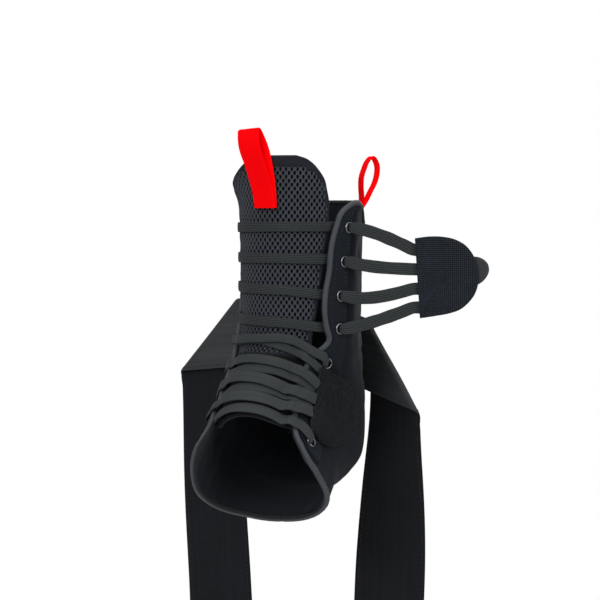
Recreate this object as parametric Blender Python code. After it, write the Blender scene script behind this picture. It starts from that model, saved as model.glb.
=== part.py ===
"""Lace-up ankle brace for the left foot, with its upper hook tab open and its straps folded back.

Metres, +Z up the leg, toes along -Y, outer (lateral) side of the foot along +X.
The origin is the centre of the ankle joint, which sits inside the boot.

Every fabric piece is a patch of one master form, the inner skin of the boot.  A place on it is
a station and an angle.  Station -1 is the collar, 0 the level where the section planes begin to
turn about a pivot in front of the instep, and 1 the end of that turn, at the toe opening.
The angle is 0 at the front, positive to the lateral side and 180 degrees at the back or sole.
"""

import math

import bmesh
import bpy
import numpy as np

# Overall sizes
COLLAR_HEIGHT = 0.105
FORM_DEPTH = 0.087
FORM_WIDTH = 0.076
PIVOT_FORWARD = 0.085
PIVOT_RISE = 0.012
FULL_TURN = math.radians(84.0)

# Layers, from the skin outwards
GAP = 0.0003
WALL = 0.0024
FLAP_LIFT = 0.0022
STAY = 0.0012
BINDING_RADIUS = 0.0018
CORNER_CLEARANCE = 0.8
TOE_SLANT = 1.15
NOTCH_DEPTH = 0.015
NOTCH_ANGLE = 114.0
NOTCH_HALF_ANGLE = 15.0
NOTCH_SLANT = 1.55
COLLAR_TOP = -0.976
TAPE = 0.0008
TAPE_WIDTH = 0.016
TONGUE_PAD = 0.0040
TONGUE_MESH = 0.0010
PATCH_PILE = 0.0018

# Laces and eyelets
LACE_WIDTH = 0.0062
LACE_THICKNESS = 0.0012
LACE_NECK = 0.0030
EYELET_BORE = 0.0021
EYELET_BARREL = 0.0004
EYELET_FLANGE = 0.0035
FLANGE_THICKNESS = 0.0005

# Tongue, loops, tab and straps
TONGUE_TOP = 0.132
LOOP_WIDTH = 0.0145
REAR_LOOP_WIDTH = 0.010
LOOP_THICKNESS = 0.0010
TONGUE_LOOP_RISE = 0.0495
REAR_LOOP_RISE = 0.0447
TAB_HEIGHT = 0.0515
TAB_LENGTH = 0.039
TAB_THICKNESS = 0.0022
GRIP_LENGTH = 0.0085
GRIP_HEIGHT = 0.019
GRIP_THICKNESS = 0.0016
GRIP_RISE_SHARE = 0.62
TAB_HEADING = 25.0
TAB_CORNER = (1.040, 0.0, 0.272)
LACE_MARKS = (-70.0, 10.0, 48.0)
BEND_DENSITY = 2.5
STRAP_WIDTH = 0.046
STRAP_THICKNESS = 0.0012
STRAP_LENGTH = 0.360
FOLD_RADIUS = 0.0016
HOOK_PATCH_LENGTH = 0.050
HOOK_PATCH_THICKNESS = 0.0010
HOOK_PATCH_MARGIN = 0.002

# Mesh rows of the walls, also used by what lies on them.
WALL_ROWS = 24

# Sections of the form: the distances from the pivot to its front and back are shares of
# FORM_DEPTH, the half width and the sideways shift of the front are shares of FORM_WIDTH, egg
# widens the back over the front, and square is the superellipse power.
FORM_COLUMNS = ("station", "front", "back", "half_width", "egg", "square", "shift")
FORM_ROWS = (
    (-1.00, 0.477, 1.477, 0.500, 0.00, 2.0, 0.000),
    (-0.50, 0.483, 1.471, 0.487, 0.00, 2.0, 0.000),
    (0.00, 0.471, 1.483, 0.487, 0.00, 2.0, -0.013),
    (0.12, 0.460, 1.575, 0.493, 0.00, 2.0, -0.046),
    (0.25, 0.448, 1.724, 0.500, 0.02, 2.1, -0.092),
    (0.37, 0.448, 1.800, 0.490, 0.04, 2.2, -0.132),
    (0.46, 0.454, 1.655, 0.480, 0.08, 2.2, -0.145),
    (0.57, 0.460, 1.450, 0.480, 0.12, 2.2, -0.151),
    (0.71, 0.483, 1.380, 0.487, 0.18, 2.2, -0.151),
    (0.85, 0.506, 1.390, 0.493, 0.20, 2.3, -0.145),
    (1.00, 0.540, 1.420, 0.500, 0.20, 2.3, -0.132),
)

# Centre line of the throat binding: station and angle on each side.
THROAT_COLUMNS = ("station", "lateral", "medial")
THROAT_ROWS = (
    (-0.976, 78.0, 104.0),
    (-0.95, 69.5, 97.0),
    (-0.91, 62.0, 93.0),
    (-0.83, 57.0, 91.0),
    (-0.70, 52.0, 90.0),
    (-0.50, 49.5, 90.0),
    (-0.35, 46.0, 89.0),
    (-0.22, 45.5, 86.0),
    (-0.12, 48.0, 81.0),
    (-0.04, 51.0, 76.0),
    (0.03, 43.0, 70.0),
    (0.18, 36.5, 58.0),
    (0.34, 38.0, 50.0),
    (0.60, 48.0, 51.0),
    (0.78, 57.0, 52.0),
    (1.00, 66.0, 52.0),
)

# Centre line of the toe binding: the station it lies at for each angle.
TOE_COLUMNS = ("angle", "lateral", "medial")
TOE_ROWS = (
    (50.0, 0.77, 0.99),
    (60.0, 0.80, 0.98),
    (75.0, 0.85, 0.96),
    (92.0, 0.82, 0.93),
    (122.0, 0.77, 0.84),
    (150.0, 0.76, 0.78),
    (180.0, 0.76, 0.76),
)

# Stretches of the throat binding above its lower end, each with its number of steps.
BINDING_RUNS = ((COLLAR_TOP, -0.8, 5), (-0.8, -0.15, 8), (-0.15, 0.1, 7))

# Rear edge of the eyestays, behind the throat.
STAY_COLUMNS = ("station", "lateral", "medial")
STAY_ROWS = (
    (-1.00, 88.0, 118.0),
    (-0.90, 74.0, 114.0),
    (-0.80, 71.5, 112.0),
    (-0.50, 68.0, 111.0),
    (-0.20, 66.0, 107.0),
    (0.00, 67.0, 95.0),
    (0.15, 67.0, 82.0),
    (0.35, 66.0, 74.0),
    (0.55, 76.0, 75.0),
    (0.75, 86.0, 76.0),
)

EYELET_COLUMNS = ("name", "lateral_station", "lateral", "medial_station", "medial")
EYELET_ROWS = (
    ("upper_1", -0.805, 67.0, -0.805, 103.0),
    ("upper_2", -0.575, 62.7, -0.600, 102.0),
    ("upper_3", -0.340, 59.2, -0.400, 101.5),
    ("upper_4", -0.125, 58.6, -0.195, 97.0),
    ("lower_1", 0.115, 51.5, -0.010, 84.5),
    ("lower_2", 0.345, 48.5, 0.165, 71.0),
    ("lower_3", 0.530, 58.0, 0.345, 64.0),
    ("lower_4", 0.735, 71.0, 0.575, 65.5),
)

# Where each upper lace crosses the tongue, from the medial to the lateral side, and where its
# far end meets the tab: share of the tab's height, from its bottom.
UPPER_LACE_COLUMNS = ("name", "medial", "crown", "lateral", "tab_share")
UPPER_LACE_ROWS = (
    ("upper_1", -0.805, -0.810, -0.810, 0.86),
    ("upper_2", -0.600, -0.597, -0.590, 0.62),
    ("upper_3", -0.400, -0.385, -0.350, 0.38),
    ("upper_4", -0.190, -0.165, -0.130, 0.15),
)

# Lower laces: each pair has a strand that lies over and one that lies under it.
# Stations and angles run from the medial edge to the lateral end.
LOWER_LACE_COLUMNS = ("name", "layer", "stations", "angles", "eyelet")
LOWER_LACE_ROWS = (
    ("1_over", "over", (-0.030, -0.055, -0.040, 0.060), (-62.0, -20.0, 22.0, 44.0), "lower_1"),
    ("1_under", "under", (0.040, 0.020, 0.080, 0.170), (-62.0, -10.0, 28.0, 46.0), None),
    ("2_over", "over", (0.140, 0.130, 0.215, 0.285), (-45.0, -8.0, 32.0, 48.0), None),
    ("2_under", "under", (0.240, 0.235, 0.290, 0.320), (-43.0, 0.0, 34.0, 44.0), "lower_2"),
    ("3_over", "over", (0.320, 0.330, 0.400, 0.400), (-40.0, -4.0, 34.0, 52.0), None),
    ("3_under", "under", (0.440, 0.435, 0.465, 0.500), (-40.0, 10.0, 42.0, 54.0), "lower_3"),
    ("4_over", "over", (0.560, 0.575, 0.575, 0.540), (-42.0, 5.0, 44.0, 58.0), None),
    ("4_under", "under", (0.690, 0.710, 0.700, 0.690), (-42.0, 10.0, 46.0, 62.0), "lower_4"),
)

# Outline of the fuzzy patch on the lateral side.
PATCH_COLUMNS = ("station", "front", "rear")
PATCH_ROWS = (
    (0.155, 49.0, 60.0),
    (0.175, 49.5, 74.0),
    (0.215, 50.0, 86.0),
    (0.270, 51.5, 95.0),
    (0.340, 53.5, 100.0),
    (0.420, 57.5, 102.0),
    (0.500, 61.5, 102.0),
    (0.570, 64.0, 99.0),
    (0.630, 66.5, 91.0),
    (0.675, 70.0, 80.0),
)

# Tongue half widths as angles, from the top down, and how far its medial edge flares outwards.
TONGUE_COLUMNS = ("station", "lateral", "medial", "flare")
TONGUE_ROWS = (
    (-1.290, 21.0, 27.0, 0.0010),
    (-1.273, 29.0, 32.0, 0.0014),
    (-1.242, 36.5, 37.5, 0.0022),
    (-1.190, 43.5, 47.0, 0.0034),
    (-1.140, 48.5, 57.0, 0.0042),
    (-1.055, 52.0, 74.0, 0.0034),
    (-0.980, 54.0, 87.0, 0.0014),
    (-0.880, 54.0, 94.0, 0.0),
    (-0.600, 50.5, 97.0, 0.0),
    (-0.300, 44.0, 96.0, 0.0),
    (-0.080, 38.0, 86.0, 0.0),
    (0.150, 41.0, 68.0, 0.0),
    (0.350, 42.0, 58.0, 0.0),
    (0.600, 52.0, 58.0, 0.0),
    (0.840, 57.0, 60.0, 0.0),
)
MESH_SIDE_MARGIN = 0.0055
MESH_MEDIAL_LIMIT = 60.0
TONGUE_SIDE_STEPS = 3
MESH_ROWS = 14
MESH_TOP_MARGIN = 0.0075
MESH_END_STATION = 0.045

# Red loops, as webbing routes: the rise is a share of the loop's rise above its base, the
# stand-off a share of its opening, both measured from the surface that it is sewn on.
LOOP_COLUMNS = ("rise", "stand_off")
TONGUE_LOOP_ROWS = (
    (0.03, 0.00),
    (0.33, 0.00),
    (0.54, 0.02),
    (0.70, -0.10),
    (0.84, -0.38),
    (0.95, -0.28),
    (1.00, 0.05),
    (0.95, 0.36),
    (0.76, 0.52),
    (0.54, 0.40),
    (0.36, 0.17),
    (0.20, 0.10),
    (0.00, 0.10),
)
REAR_LOOP_ROWS = (
    (0.000, -0.182),
    (0.112, -0.187),
    (0.179, -0.155),
    (0.262, -0.033),
    (0.349, 0.089),
    (0.434, 0.096),
    (0.564, 0.067),
    (0.707, 0.089),
    (0.823, 0.207),
    (0.937, 0.370),
    (1.000, 0.593),
    (0.953, 0.733),
    (0.866, 0.837),
    (0.765, 0.830),
    (0.622, 0.711),
    (0.506, 0.519),
    (0.362, 0.281),
    (0.262, 0.081),
    (0.179, -0.052),
    (0.112, -0.094),
    (0.020, -0.090),
)
TONGUE_LOOP_BASE = 0.75
TONGUE_LOOP_ANGLES = (-11.0, -26.0)
TONGUE_LOOP_OPENING = 0.0135
REAR_LOOP_BASE = 0.833
REAR_LOOP_ANGLE = 118.0
REAR_LOOP_TURN = 13.0
REAR_LOOP_OPENING = 0.0135

# Straps: the straight run's heading is measured from the sideways direction towards the back.
STRAP_COLUMNS = ("side", "root_rise", "root_heading", "heading", "droop", "crease_at", "twist", "lean")
STRAP_ROWS = (
    ("lateral", 0.0105, 12.0, -25.0, 14.5, 0.0475, 34.0, 2.6),
    ("medial", 0.0220, 0.0, 10.0, 5.6, 0.091, 12.0, 3.0),
)
STRAP_TURN_LENGTH = 0.026
TWIST_LENGTH = 0.150


def clear_scene():
    for item in list(bpy.data.objects):
        bpy.data.objects.remove(item, do_unlink=True)


def column(rows, columns, name):
    return np.array([row[columns.index(name)] for row in rows], dtype=float)


def smooth_table(x, xs, ys):
    """Cubic curve through the rows of a table, held at its ends."""
    x = np.clip(np.asarray(x, dtype=float), xs[0], xs[-1])
    i = np.clip(np.searchsorted(xs, x, side="right") - 1, 0, len(xs) - 2)
    step = xs[i + 1] - xs[i]
    u = (x - xs[i]) / step
    slope = np.gradient(ys, xs)
    return ((2 * u**3 - 3 * u**2 + 1) * ys[i] + (u**3 - 2 * u**2 + u) * step * slope[i]
            + (3 * u**2 - 2 * u**3) * ys[i + 1] + (u**3 - u**2) * step * slope[i + 1])


def smoothstep(x, low, high):
    u = np.clip((np.asarray(x, dtype=float) - low) / (high - low), 0.0, 1.0)
    return u * u * (3 - 2 * u)


FORM_STATIONS = column(FORM_ROWS, FORM_COLUMNS, "station")
FORM_TABLE = {name: column(FORM_ROWS, FORM_COLUMNS, name) for name in FORM_COLUMNS[1:]}


def form_base(station, angle):
    """Point of the inner skin; the angle is in radians."""
    value = {name: smooth_table(station, FORM_STATIONS, ys) for name, ys in FORM_TABLE.items()}
    cos, sin = np.cos(angle), np.sin(angle)
    power = 2.0 / value["square"]
    front, back = FORM_DEPTH * value["front"], FORM_DEPTH * value["back"]
    reach = (front + back) / 2 - (back - front) / 2 * np.sign(cos) * np.abs(cos) ** power
    across = np.sign(sin) * np.abs(sin) ** power * (1 - value["egg"] * cos) / (1 + value["egg"] ** 2 / 2)
    x = FORM_WIDTH * (value["shift"] * (1 + cos) / 2 + value["half_width"] * across)
    turn = FULL_TURN * np.maximum(station, 0.0)
    level = PIVOT_RISE + (COLLAR_HEIGHT - PIVOT_RISE) * np.maximum(-station, 0.0)
    return np.stack([x, -PIVOT_FORWARD + reach * np.cos(turn), level - reach * np.sin(turn)], axis=-1)


def form_frame(station, angle):
    """Point, outward normal and the steps per station and per radian."""
    station, angle = np.broadcast_arrays(np.asarray(station, float), np.asarray(angle, float))
    step = 1e-4
    along = (form_base(station + step, angle) - form_base(station - step, angle)) / (2 * step)
    around = (form_base(station, angle + step) - form_base(station, angle - step)) / (2 * step)
    normal = np.cross(along, around)
    normal /= np.linalg.norm(normal, axis=-1, keepdims=True)
    return form_base(station, angle), normal, along, around


def on_form(station, angle, offset):
    point, normal, _, _ = form_frame(station, angle)
    return point + normal * np.broadcast_to(offset, point.shape[:-1])[..., None]


def lift(station, angle):
    """How far the open lateral flap stands off the form."""
    degrees = np.degrees(angle)
    sideways = smoothstep(degrees, 20.0, 40.0) * (1 - smoothstep(degrees, 70.0, 105.0))
    return FLAP_LIFT * sideways * (1 - smoothstep(station, -0.10, 0.10))


def angle_step(station, angle, distance):
    """Angle that a distance along the section takes up."""
    _, _, _, around = form_frame(station, angle)
    return distance / np.linalg.norm(around, axis=-1)


def station_step(station, angle, distance):
    _, _, along, _ = form_frame(station, angle)
    return distance / np.linalg.norm(along, axis=-1)


def throat_angle(side, station):
    degrees = smooth_table(station, column(THROAT_ROWS, THROAT_COLUMNS, "station"),
                           column(THROAT_ROWS, THROAT_COLUMNS, side))
    return np.radians(degrees)


def collar_station(side, angle):
    """The collar is level but for a dip beside the rear loop."""
    if side == "medial":
        return np.full_like(np.asarray(angle, dtype=float), COLLAR_TOP)
    beside = (np.degrees(angle) - NOTCH_ANGLE) / NOTCH_HALF_ANGLE
    return COLLAR_TOP + NOTCH_DEPTH / (COLLAR_HEIGHT - PIVOT_RISE) * np.exp(-beside**2)


def toe_station(side, angle):
    return smooth_table(np.degrees(angle), column(TOE_ROWS, TOE_COLUMNS, "angle"),
                        column(TOE_ROWS, TOE_COLUMNS, side))


def material(name, colour, roughness, metallic=0.0):
    made = bpy.data.materials.get(name) or bpy.data.materials.new(name)
    made.use_nodes = True
    shader = made.node_tree.nodes["Principled BSDF"]
    shader.inputs["Base Color"].default_value = (*colour, 1.0)
    shader.inputs["Roughness"].default_value = roughness
    shader.inputs["Metallic"].default_value = metallic
    return made


def fabric_black():
    return material("fabric_black", (0.012, 0.013, 0.018), 0.9)


def binding_grey():
    return material("binding_grey", (0.07, 0.075, 0.085), 0.8)


def stay_navy():
    return material("stay_navy", (0.018, 0.021, 0.030), 0.9)


def mesh_charcoal():
    return material("mesh_charcoal", (0.035, 0.036, 0.042), 0.9)


def lace_charcoal():
    return material("lace_charcoal", (0.045, 0.050, 0.050), 0.85)


def webbing_red():
    return material("webbing_red", (0.90, 0.004, 0.010), 0.7)


def eyelet_metal():
    return material("eyelet_metal", (0.55, 0.56, 0.58), 0.3, 1.0)


def strap_grey():
    return material("strap_grey", (0.040, 0.042, 0.045), 0.85)


def pile_black():
    return material("pile_black", (0.020, 0.021, 0.023), 0.95)


def grip_rubber():
    return material("grip_rubber", (0.035, 0.037, 0.042), 0.5)


def add_object(name, vertices, faces, look):
    mesh = bpy.data.meshes.new(name)
    mesh.from_pydata([tuple(map(float, v)) for v in vertices], [], faces)
    work = bmesh.new()
    work.from_mesh(mesh)
    bmesh.ops.recalc_face_normals(work, faces=work.faces)
    work.to_mesh(mesh)
    work.free()
    mesh.shade_smooth()
    mesh.set_sharp_from_angle(angle=math.radians(40))
    mesh.materials.append(look)
    made = bpy.data.objects.new(name, mesh)
    bpy.context.scene.collection.objects.link(made)
    return made


def shell(name, inner, outer, look):
    """Closed wall between two grids of points of the same size."""
    rows, columns = inner.shape[:2]
    vertices = np.concatenate([inner.reshape(-1, 3), outer.reshape(-1, 3)])
    top = rows * columns
    faces = []
    for i in range(rows - 1):
        for j in range(columns - 1):
            first, second = i * columns + j, i * columns + j + 1
            third, fourth = second + columns, first + columns
            for corner in ((first, second, third), (first, third, fourth)):
                faces.append(corner)
                faces.append(tuple(top + k for k in reversed(corner)))
    rim = [j for j in range(columns)]
    rim += [i * columns + columns - 1 for i in range(1, rows)]
    rim += [(rows - 1) * columns + j for j in range(columns - 2, -1, -1)]
    rim += [i * columns for i in range(rows - 2, 0, -1)]
    for a, b in zip(rim, rim[1:] + rim[:1]):
        faces.append((a, top + a, top + b, b))
    return add_object(name, vertices, faces, look)


def sweep(name, loops, look, closed=False):
    """Skin over a list of equal loops of points, capped at both ends unless it is closed."""
    loops = np.asarray(loops)
    count, sides = loops.shape[:2]
    faces = []
    for i in range(count if closed else count - 1):
        following = (i + 1) % count
        for k in range(sides):
            after = (k + 1) % sides
            here, there = i * sides, following * sides
            faces.append((here + k, here + after, there + after, there + k))
    if not closed:
        faces.append(tuple(range(sides)))
        faces.append(tuple(reversed(range((count - 1) * sides, count * sides))))
    return add_object(name, loops.reshape(-1, 3), faces, look)


def unit(vector):
    return vector / np.linalg.norm(vector, axis=-1, keepdims=True)


def ribbon_loops(points, across, width, thickness):
    """Rectangular sections along a route; across is the direction of the width."""
    points = np.asarray(points)
    tangent = unit(np.gradient(points, axis=0))
    across = unit(across - np.sum(across * tangent, axis=1, keepdims=True) * tangent)
    normal = np.cross(across, tangent)
    half_width = np.broadcast_to(width, len(points))[:, None] / 2
    half_thickness = np.broadcast_to(thickness, len(points))[:, None] / 2
    corners = [points + a * half_width * across + b * half_thickness * normal
               for a, b in ((1, 1), (-1, 1), (-1, -1), (1, -1))]
    return np.stack(corners, axis=1)


def tube_loops(points, radius, sides, outward):
    tangent = unit(np.gradient(np.asarray(points), axis=0))
    side = unit(np.cross(tangent, outward))
    up = np.cross(side, tangent)
    turns = 2 * math.pi * (np.arange(sides) + 0.5) / sides
    return np.stack([points + radius * (math.cos(a) * side + math.sin(a) * up) for a in turns], axis=1)


def sign_of(side):
    return 1.0 if side == "lateral" else -1.0


def lift_of(side, station, angle):
    return lift(station, angle) if side == "lateral" else 0.0


def slant(side, station):
    """How much wider than square on the throat edge is cut by a section."""
    step = 0.01
    front = throat_angle(side, station)
    turn = (throat_angle(side, station + step) - throat_angle(side, station - step)) / (2 * step)
    _, _, along, around = form_frame(station, sign_of(side) * front)
    slope = turn * np.linalg.norm(around, axis=-1) / np.linalg.norm(along, axis=-1)
    return np.sqrt(1 + slope**2)


def quarter_grid(side, rows, columns, margin, back_margin, rear=None):
    """Stations and angles of a wall patch, kept clear of the bindings and of the back seam."""
    v = np.linspace(0, 1, rows)[:, None] * np.ones((1, columns))
    u = np.linspace(0, 1, columns)[None, :] * np.ones((rows, 1))
    sign = sign_of(side)
    angle = np.radians(60 + 120 * u)
    corner = 1 + CORNER_CLEARANCE * (np.exp(-(v / 0.05) ** 2) + np.exp(-((1 - v) / 0.06) ** 2))
    station = -1 + 1.7 * v
    for _ in range(12):
        top = collar_station(side, angle) + NOTCH_SLANT * station_step(-1.0, sign * angle, margin)
        toe = toe_station(side, angle) - TOE_SLANT * station_step(0.8, sign * angle, margin)
        station = top + v * (toe - top)
        front = throat_angle(side, station)
        front = front + angle_step(station, sign * front, margin * slant(side, station) * corner)
        back = math.pi - angle_step(station, math.pi, back_margin) if rear is None else rear(station)
        angle = front + u * (back - front)
    return station, sign * angle


def quarter(side, cutter):
    margin = BINDING_RADIUS + 2.5 * GAP
    station, angle = quarter_grid(side, WALL_ROWS, 10, margin, GAP / 2)
    raised = lift_of(side, station, angle)
    made = shell(side + "_quarter", on_form(station, angle, raised), on_form(station, angle, raised + WALL),
                 fabric_black())
    cut(made, cutter)
    return made


def eyestay(side, cutter):
    stations = column(STAY_ROWS, STAY_COLUMNS, "station")
    angles = column(STAY_ROWS, STAY_COLUMNS, side)

    def rear(station):
        return np.radians(smooth_table(station, stations, angles))

    margin = BINDING_RADIUS + 2.5 * GAP
    station, angle = quarter_grid(side, WALL_ROWS, 4, margin, 0.0, rear)
    keep = station[:, 0] < stations[-1]
    station, angle = station[keep], angle[keep]
    raised = lift_of(side, station, angle) + WALL + GAP
    made = shell(side + "_eyestay", on_form(station, angle, raised), on_form(station, angle, raised + STAY),
                 stay_navy())
    cut(made, cutter)
    return made


def binding(side):
    """Folded tape round the collar, down the throat and round the toe opening."""
    sign = sign_of(side)
    end = math.pi - 0.02
    corner = throat_angle(side, COLLAR_TOP)
    collar = np.linspace(end, corner, 18 if side == "lateral" else 12, endpoint=False)
    throat = np.concatenate([np.linspace(low, high, count, endpoint=False)
                             for low, high, count in BINDING_RUNS] + [np.linspace(0.1, 1.0, 12)])
    throat = throat[throat < toe_station(side, throat_angle(side, throat)) - 0.02]
    toe_start = throat_angle(side, throat[-1]) + 0.06
    toe = np.linspace(toe_start, end, 15)
    station = np.concatenate([collar_station(side, collar), throat, toe_station(side, toe)])
    angle = sign * np.concatenate([collar, throat_angle(side, throat), toe])
    offset = lift_of(side, station, angle) + BINDING_RADIUS
    _, normal, _, _ = form_frame(station, angle)
    loops = tube_loops(on_form(station, angle, offset), BINDING_RADIUS, 6, normal)
    return sweep(side + "_binding", loops, binding_grey())


def back_seam_tape():
    rows, _ = quarter_grid("lateral", WALL_ROWS, 2, BINDING_RADIUS + 2.5 * GAP, GAP / 2)
    station = rows[:, 1:] * np.ones((1, 4))
    half = angle_step(station, math.pi, TAPE_WIDTH / 2)
    angle = math.pi + half * np.linspace(-1, 1, 4)[None, :]
    base = WALL + 2 * GAP
    shell("back_seam_tape", on_form(station, angle, base), on_form(station, angle, base + TAPE),
          binding_grey())


def eyelet_places(side):
    for row in EYELET_ROWS:
        record = dict(zip(EYELET_COLUMNS, row))
        angle = sign_of(side) * math.radians(record[side])
        station = record[side + "_station"]
        point, normal, along, _ = form_frame(station, angle)
        base = point + normal * lift_of(side, station, angle)
        yield record["name"], base, normal, unit(along), station, angle


def ring_basis(normal, along):
    across = unit(along - np.dot(along, normal) * normal)
    return across, np.cross(normal, across)


def circle(centre, first, second, radius, sides):
    turns = 2 * math.pi * np.arange(sides) / sides
    return centre + radius * (np.cos(turns)[:, None] * first + np.sin(turns)[:, None] * second)


def eyelets(side):
    top = FLANGE_TOP - FLANGE_THICKNESS
    for name, base, normal, along, _, _ in eyelet_places(side):
        first, second = ring_basis(normal, along)
        barrel = EYELET_BORE + EYELET_BARREL
        profile = [(EYELET_BORE, 0.0), (barrel, 0.0), (barrel, top), (EYELET_FLANGE, top),
                   (EYELET_FLANGE, top + FLANGE_THICKNESS), (EYELET_BORE, top + FLANGE_THICKNESS)]
        loops = [circle(base + height * normal, first, second, radius, 8) for radius, height in profile]
        sweep(side + "_eyelet_" + name, loops, eyelet_metal(), closed=True)


def eyelet_cutter(side):
    vertices, faces = [], []
    radius = EYELET_BORE + EYELET_BARREL + GAP
    for _, base, normal, along, _, _ in eyelet_places(side):
        first, second = ring_basis(normal, along)
        start = len(vertices)
        for height in (-0.004, WALL + STAY + 0.004):
            vertices.extend(circle(base + height * normal, first, second, radius, 8))
        faces.append(tuple(start + k for k in range(8)))
        faces.append(tuple(start + 8 + k for k in reversed(range(8))))
        for k in range(8):
            after = (k + 1) % 8
            faces.append((start + k, start + 8 + k, start + 8 + after, start + after))
    cutter = add_object(side + "_eyelet_cutter", vertices, faces, eyelet_metal())
    cutter.hide_render = True
    cutter.display_type = "WIRE"
    return cutter


def cut(target, cutter):
    modifier = target.modifiers.new("eyelet holes", "BOOLEAN")
    modifier.operation = "DIFFERENCE"
    modifier.object = cutter


def tongue_edges(station):
    stations = column(TONGUE_ROWS, TONGUE_COLUMNS, "station")
    lateral = smooth_table(station, stations, column(TONGUE_ROWS, TONGUE_COLUMNS, "lateral"))
    medial = smooth_table(station, stations, column(TONGUE_ROWS, TONGUE_COLUMNS, "medial"))
    return np.radians(-medial), np.radians(lateral)


def tongue_station(height):
    return -(height - PIVOT_RISE) / (COLLAR_HEIGHT - PIVOT_RISE)


def tongue_grid():
    """Rows and columns shared by the tongue and the mesh panel that lies on it."""
    ends = column(TONGUE_ROWS, TONGUE_COLUMNS, "station")
    panel_top = tongue_station(TONGUE_TOP - MESH_TOP_MARGIN)
    panel_rows = np.linspace(panel_top, MESH_END_STATION, MESH_ROWS)
    lower_rows = np.linspace(MESH_END_STATION, ends[-1], 8)[1:]
    rows = np.concatenate([[tongue_station(TONGUE_TOP)], panel_rows, lower_rows])
    low, high = tongue_edges(rows)
    margin = angle_step(rows, 0.0, MESH_SIDE_MARGIN)
    share = np.linspace(0, 1, 8)[None, :]
    side = np.linspace(0, 1, TONGUE_SIDE_STEPS, endpoint=False)[None, :]
    panel_low = np.maximum(low + 0.6 * margin, -math.radians(MESH_MEDIAL_LIMIT))[:, None]
    inner = panel_low * (1 - share) + (high - margin)[:, None] * share
    outer = low[:, None] * (1 - side) + panel_low * side
    angle = np.concatenate([outer, inner, high[:, None]], axis=1)
    station = rows[:, None] * np.ones_like(angle)
    flare = smooth_table(station, ends, column(TONGUE_ROWS, TONGUE_COLUMNS, "flare"))
    return station, angle, flare * smoothstep(angle / low[:, None], 0.5, 1.0)


def tongue():
    station, angle, flare = tongue_grid()
    face = flare - (2 * GAP + TONGUE_MESH)
    shell("tongue", on_form(station, angle, face - TONGUE_PAD), on_form(station, angle, face), stay_navy())
    part = (slice(1, 1 + MESH_ROWS), slice(TONGUE_SIDE_STEPS, -1))
    station, angle, flare = station[part], angle[part], flare[part]
    low, high = flare - GAP - TONGUE_MESH, flare - GAP
    shell("tongue_mesh", on_form(station, angle, low), on_form(station, angle, high), mesh_charcoal())


FLANGE_TOP = WALL + 2.6 * GAP + STAY + FLANGE_THICKNESS


class Lace:
    """Route of a lace: its points, and at each the direction of its width."""

    def __init__(self):
        self.points = []
        self.across = []

    def add(self, point, across):
        self.points.append(point)
        self.across.append(across)

    def add_on_form(self, station, angle, offset):
        point, normal, along, _ = form_frame(station, angle)
        self.add(point + offset * normal, unit(along))

    def build(self, name, count, thickness, holes):
        points, across = np.array(self.points), np.array(self.across)
        marks = np.concatenate([[0], np.cumsum(np.linalg.norm(np.diff(points, axis=0), axis=1))])
        bend = np.linalg.norm(np.gradient(unit(np.gradient(points, axis=0)), axis=0), axis=1)
        fine = np.linspace(0, marks[-1], 600)
        density = 1 + BEND_DENSITY * smooth_table(fine, marks, bend)
        total = np.concatenate([[0], np.cumsum((density[1:] + density[:-1]) / 2 * np.diff(fine))])
        places = np.interp(np.linspace(0, total[-1], count), total, fine)
        path = np.stack([smooth_table(places, marks, points[:, k]) for k in range(3)], axis=1)
        hint = unit(np.stack([smooth_table(places, marks, across[:, k]) for k in range(3)], axis=1))
        near = np.full(count, 1.0)
        for hole in holes:
            near = np.minimum(near, np.linalg.norm(path - hole, axis=1))
        spread = smoothstep(near, 1.7 * EYELET_FLANGE, 3.2 * EYELET_FLANGE)
        width = LACE_NECK + (LACE_WIDTH - LACE_NECK) * spread
        return sweep(name, ribbon_loops(path, hint, width, thickness), lace_charcoal())


def eyelet(side, name):
    for found in eyelet_places(side):
        if found[0] == name:
            return found[1:]
    raise KeyError(name)


OVER_STAY = WALL + 2 * GAP + STAY + LACE_THICKNESS / 2 + GAP / 2
OVER_BINDING = 2 * BINDING_RADIUS + 2 * GAP + LACE_THICKNESS / 2
ON_TONGUE = LACE_THICKNESS / 2 + GAP
LACE_LAYER = LACE_THICKNESS + 2.5 * GAP


def hole_stretch(side, name, target, depth):
    """Steps of a lace from inside an eyelet's bore, out over its flange and towards a target."""
    base, normal, along, _, _ = eyelet(side, name)
    towards = target - base
    towards = unit(towards - np.dot(towards, normal) * normal)
    clear = FLANGE_TOP + LACE_THICKNESS / 2 + 1.4 * GAP
    steps = ((0.0, depth), (0.0, FLANGE_TOP * 0.5), (0.04, FLANGE_TOP), (0.22, clear),
             (0.6, clear + 0.05 * LACE_NECK), (1.15, clear))
    return [(base + sideways * EYELET_FLANGE * towards + height * normal, along)
            for sideways, height in steps]


def medial_start(lace, station, eyelet_name, layer):
    """From the medial eyelet over the binding and down to the tongue; returns the angle reached."""
    edge = -float(throat_angle("medial", station))
    step = float(angle_step(station, edge, BINDING_RADIUS))
    outside = on_form(station, edge - 1.6 * step, OVER_STAY)
    for point, across in hole_stretch("medial", eyelet_name, outside, 0.1 * WALL):
        lace.add(point, across)
    lace.add_on_form(station, edge - 1.6 * step, OVER_STAY)
    lace.add_on_form(station, edge, OVER_BINDING)
    lace.add_on_form(station, edge + 1.5 * step, 0.8 * OVER_BINDING + 0.2 * layer)
    lace.add_on_form(station, edge + 3.6 * step, ON_TONGUE + layer)
    return edge + 3.6 * step


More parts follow.
